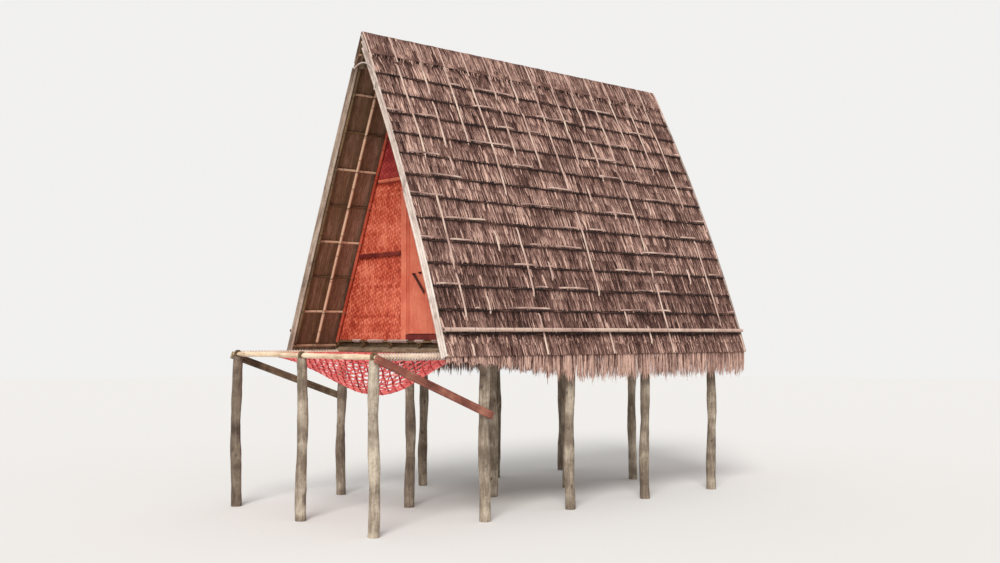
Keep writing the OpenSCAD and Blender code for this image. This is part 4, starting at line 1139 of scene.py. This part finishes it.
def makeNet():
    # ropes between the even points of a grid, in diamonds, a knot on each inner one and a hem on each edge
    n = net
    rng = np.random.default_rng(90)
    i, j = np.indices((n["halfCols"] + 1, n["rows"] + 1))
    at = netPoint(i / n["halfCols"], j / n["rows"])
    inner = (i > 0) & (i < n["halfCols"]) & (j > 0) & (j < n["rows"])
    at = at + inner[..., None] * rng.uniform(-1, 1, at.shape) * n["scatter"]
    even = (i + j) % 2 == 0
    starts, ends = [], []
    for step in (1, -1):
        a = np.argwhere(even & (j < n["rows"]) & (i + step >= 0) & (i + step <= n["halfCols"]))
        starts.append(at[a[:, 0], a[:, 1]])
        ends.append(at[a[:, 0] + step, a[:, 1] + 1])
    a, b = np.concatenate(starts), np.concatenate(ends)
    v = np.array([0.0, 0.33, 0.67, 1.0])
    pts = a[:, None] + (b - a)[:, None] * v[None, :, None]
    pts[..., 2] -= n["slack"] * np.sin(np.pi * v)
    first = np.arange(len(a)) < len(starts[0])
    # painted light and shade: the ropes of the first direction are lighter and those of the other darker, and
    # the first get a pink painted highlight through the mark; a few strands at random are faded
    tone = np.clip(np.where(first, 0.62, 0.40) + rng.normal(0, 0.12, len(a)), 0.05, 0.95)
    fadeAndHighlight = np.where(first, 0.16, 0.0) + 0.3 * (rng.uniform(size=len(a)) < 0.06)
    parts = [sweep(pts, np.repeat((b - a)[:, None], 4, 1), (0.3, 0.2, 1), ringOutline(n["ropeR"], 6),
                   tone[:, None, None], fadeAndHighlight[:, None, None], seed=91, centred=True)]
    k = at[even & inner]
    line = np.array([1.0, 0.2, 0.1])
    pts = k[:, None] + line * (np.array([-1.0, -0.45, 0.45, 1.0]) * n["knotR"] * 1.1)[None, :, None]
    tone = np.clip(0.6 + rng.normal(0, 0.15, len(k)), 0.1, 1)
    parts.append(sweep(pts, line, alongZ, ringOutline(n["knotR"] * np.array([0.4, 1.0, 1.0, 0.4]), 6),
                       tone[:, None, None], 0.1, seed=92, centred=True))
    edge = np.linspace(0, 1, 60)
    hem = ringOutline(n["hemR"], 8)
    for u, v in ((edge, 0.006), (edge, 0.994), (0.003, edge), (0.997, edge)):
        pts = netPoint(u + 0 * edge, v + 0 * edge)
        parts.append(sweep(pts, None, (0.1, 0.1, 1), hem, 0.55, 0.1, seed=93, centred=True))
    makePiece("net_ropes", parts, "net", "net_deck")


def lacing(a, b, radius, rope, pitch, seed):
    # helix round a pole: a + (b - a) s / L + radius (cos, sin)(2 pi s / pitch)
    far = np.linalg.norm(b - a)
    line = (b - a) / far
    side = unit(np.cross(line, (0, 0, 1.0)))
    over = np.cross(side, line)

    def curve(s):
        q = (tau * s / pitch)[..., None]
        return a + line * s[..., None] + radius * (side * np.cos(q) + over * np.sin(q))
    s = np.linspace(0, far, int(far / pitch * 14))
    tone = 0.55 + 0.2 * ripple(s, seed, 0.5)
    return tube(curve, s, ringOutline(rope, 6), line, tone=tone, mark=0.25, seed=seed, centred=True)


def makeNetFrame():
    # front pole over the posts, a pole at each side, and rope wound round those two
    p, x, z = poles, posts["x"], net["z"]
    front = lambda s: world(-p["reach"] + s, posts["netY"] + 0.0015 * ripple(s, 8, 2.2), z)
    log = logPart(front, 2 * p["reach"], p["radius"], alongZ, 60, 0.5, rings=70, sides=18, knots=5)
    makePiece("net_pole_front", [log], "peeled", "net_front_pole")
    ropes = []
    for side, name in slopes:
        rail = lambda s: world(side * x, net["y0"] + s, z)
        log = logPart(rail, p["railLong"], p["radius"], alongZ, 62 + side, 0.42, rings=40, sides=18, knots=3)
        makePiece("net_pole_" + name, [log], "peeled", "net_rail_" + name)
        ends = [world(side * x, y, z) for y in p["laceY"]]
        ropes.append(lacing(*ends, p["laceRadius"], p["laceRope"], p["lacePitch"], 5))
    makePiece("rail_lacing", ropes, "twine")


def lashing(centre, axis, across, radii, turns, rope, seed):
    # wound twine: centre + axis drift + (ra cos q) u + (rb sin q) w, with q = 2 pi turns s
    axis = unit(np.asarray(axis, float))
    u = unit(np.cross(axis, across))
    w = np.cross(axis, u)

    def curve(s):
        s = s[..., None]
        q = tau * turns * s
        drift = (s - 0.5) * turns * rope * 2.05
        return centre + axis * drift + u * (radii[0] * np.cos(q)) + w * (radii[1] * np.sin(q))
    s = np.linspace(0, 1, int(turns * 11) + 1)
    tone = 0.5 + 0.15 * math.sin(seed)
    return tube(curve, s, ringOutline(rope, 5), axis, tone=tone, mark=0.2, seed=seed, centred=True)


def makeLashings():
    ti = ties
    spots = [(x, posts["netY"], ti["netAt"], lean * 0.9, ti["netRadii"], int(10 * x) + lean)
             for name, x in postColumns for lean in (-1, 1)]
    spots += [(x, y, ti["beamAt"], 0.85, ti["beamRadii"], int(9 * y + x))
              for y in posts["rows"] for name, x in postColumns]
    wound = [lashing(world(x, y, z), (lean, 0, 0.6), alongY, radii, ti["turns"], ti["rope"], seed)
             for x, y, z, lean, radii, seed in spots]
    makePiece("post_lashings", wound, "hemp")
    small = []
    for side in (left, right):
        for i in range(frameWork["battens"]):
            for y in frameWork["rafterY"][:3]:
                centre = onSlope(side, battenT(i), (battenD + rafterD) / 2 - 0.003, y)
                small.append(lashing(centre, (side * downX, 0.8, downZ), outward(side), ti["rafterRadii"],
                                     ti["rafterTurns"], ti["rafterRope"], 3 * i + side))
    makePiece("rafter_lashings", small, "hemp")
    # white twine round the front slats, with gaps
    flecks = []
    for pair in ti["edge"]:
        ends = [world(x, ti["edgeY"], ti["edgeZ"]) for x in pair]
        flecks.append(lacing(*ends, ti["edgeRadius"], ti["rope"], ti["edgePitch"], int(30 * pair[1])))
    makePiece("floor_edge_twine", flecks, "twine")


def makeBraces():
    # the board's own axes, longest first, from the corners of its node; the left one is greyer
    for name, tone, kind in (("left", 0.34, "log"), ("right", 0.5, "brace")):
        co = np.unique(np.round([v.co[:] for v in frame["nodes"]["brace_" + name].data.vertices], 5), axis=0)
        mid = co.mean(0)
        axes = np.linalg.svd(co - mid, full_matrices=False)[2]
        half = [np.abs((co - mid) @ a).max() for a in axes]
        line = axes[0] * (1 if axes[0][1] > 0 else -1)
        s = np.linspace(-half[0], half[0], 40)
        worn = 1 - 0.02 * np.abs(ripple(s, 4, 0.4))
        out = boxOutline(half[2] * 1.98, half[1] * 1.98, 12, 0.18) * worn[:, None, None]
        board = sweep(mid + line * s[:, None], line, axes[2], out, tone + 0.15 * ripple(s, 7, 0.5), seed=9)
        makePiece("brace_board_" + name, [board], kind, "brace_" + name)


makeNet()
makeNetFrame()
makeLashings()
makeBraces()
print("net deck made")


# Stage, light and camera
stage = {"floor": (0.80, 0.79, 0.78), "radii": (0.0001, 4.0, 12.0, 40.0), "sides": 64, "background": 0.88,
         "ambient": 0.62, "skyColour": (1.0, 0.995, 0.985, 1), "sun": 2.3, "sunAngle": 22.0,
         "sunFrom": (0.62, -0.72, 0.86), "sunColour": (1.0, 0.975, 0.94)}
camera = {"place": (10.233, -9.080, 1.922), "aim": (0.0, 0.0, 2.55), "lens": 41.0}


def makeStage():
    # floor of rings (r cos a, r sin a), just under the feet
    a = np.linspace(0, tau, stage["sides"], endpoint=False)
    radii = np.array(stage["radii"])[:, None]
    co = np.stack(np.broadcast_arrays(radii * np.cos(a), radii * np.sin(a), -0.001), -1).reshape(-1, 3)
    mesh = bpy.data.meshes.new("studio_floor")
    mesh.from_pydata(co.tolist(), [], ringFaces(len(radii), stage["sides"])[0][:, ::-1].tolist())
    m, t = emptyMaterial("studio floor")
    body = add(t, "ShaderNodeBsdfPrincipled", {"Base Color": stage["floor"] + (1,), "Roughness": 0.95,
                                               "Specular IOR Level": 0.0})
    add(t, "ShaderNodeOutputMaterial", {"Surface": body.outputs[0]})
    mesh.materials.append(m)
    studioFloor = linked("studio_floor", mesh)
    studioFloor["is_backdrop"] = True

    w = bpy.data.worlds.new("studio")
    bpy.context.scene.world = w
    w.use_nodes = True
    t = w.node_tree
    t.nodes.clear()
    ray = add(t, "ShaderNodeLightPath")
    seen = calc(t, "MAXIMUM", ray.outputs["Is Camera Ray"], ray.outputs["Is Glossy Ray"])
    seen = calc(t, "MAXIMUM", seen, ray.outputs["Is Transmission Ray"])
    level = calc(t, "MULTIPLY_ADD", seen, stage["background"] - stage["ambient"], stage["ambient"])
    sky = add(t, "ShaderNodeBackground", {"Color": stage["skyColour"], "Strength": level})
    add(t, "ShaderNodeOutputWorld", {"Surface": sky.outputs[0]})

    sun = bpy.data.lights.new("sun", "SUN")
    sun.energy = stage["sun"]
    sun.angle = math.radians(stage["sunAngle"])
    sun.color = stage["sunColour"]
    lamp = linked("sun", sun)
    lamp.rotation_euler = Vector(stage["sunFrom"]).to_track_quat("Z", "Y").to_euler()


def makeCamera():
    # stands where the photo was taken and looks at the middle of the hut
    data = bpy.data.cameras.new("camera")
    data.sensor_width = 36
    data.clip_end = 200
    data.lens = camera["lens"]
    cam = linked("camera", data)
    cam.location = camera["place"]
    look = Vector(camera["aim"]) - Vector(camera["place"])
    cam.rotation_euler = look.to_track_quat("-Z", "Y").to_euler()
    bpy.context.scene.camera = cam


makeStage()
makeCamera()
bpy.context.scene.view_settings.view_transform = "Standard"
print("triangles", sum(n for _, n in pieceSizes), sorted(pieceSizes, key=lambda p: -p[1])[:8])

asLists = lambda box: [[float(v) for v in corner] for corner in box]
{"cad": asLists(cadBox), "visual": asLists(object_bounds())}
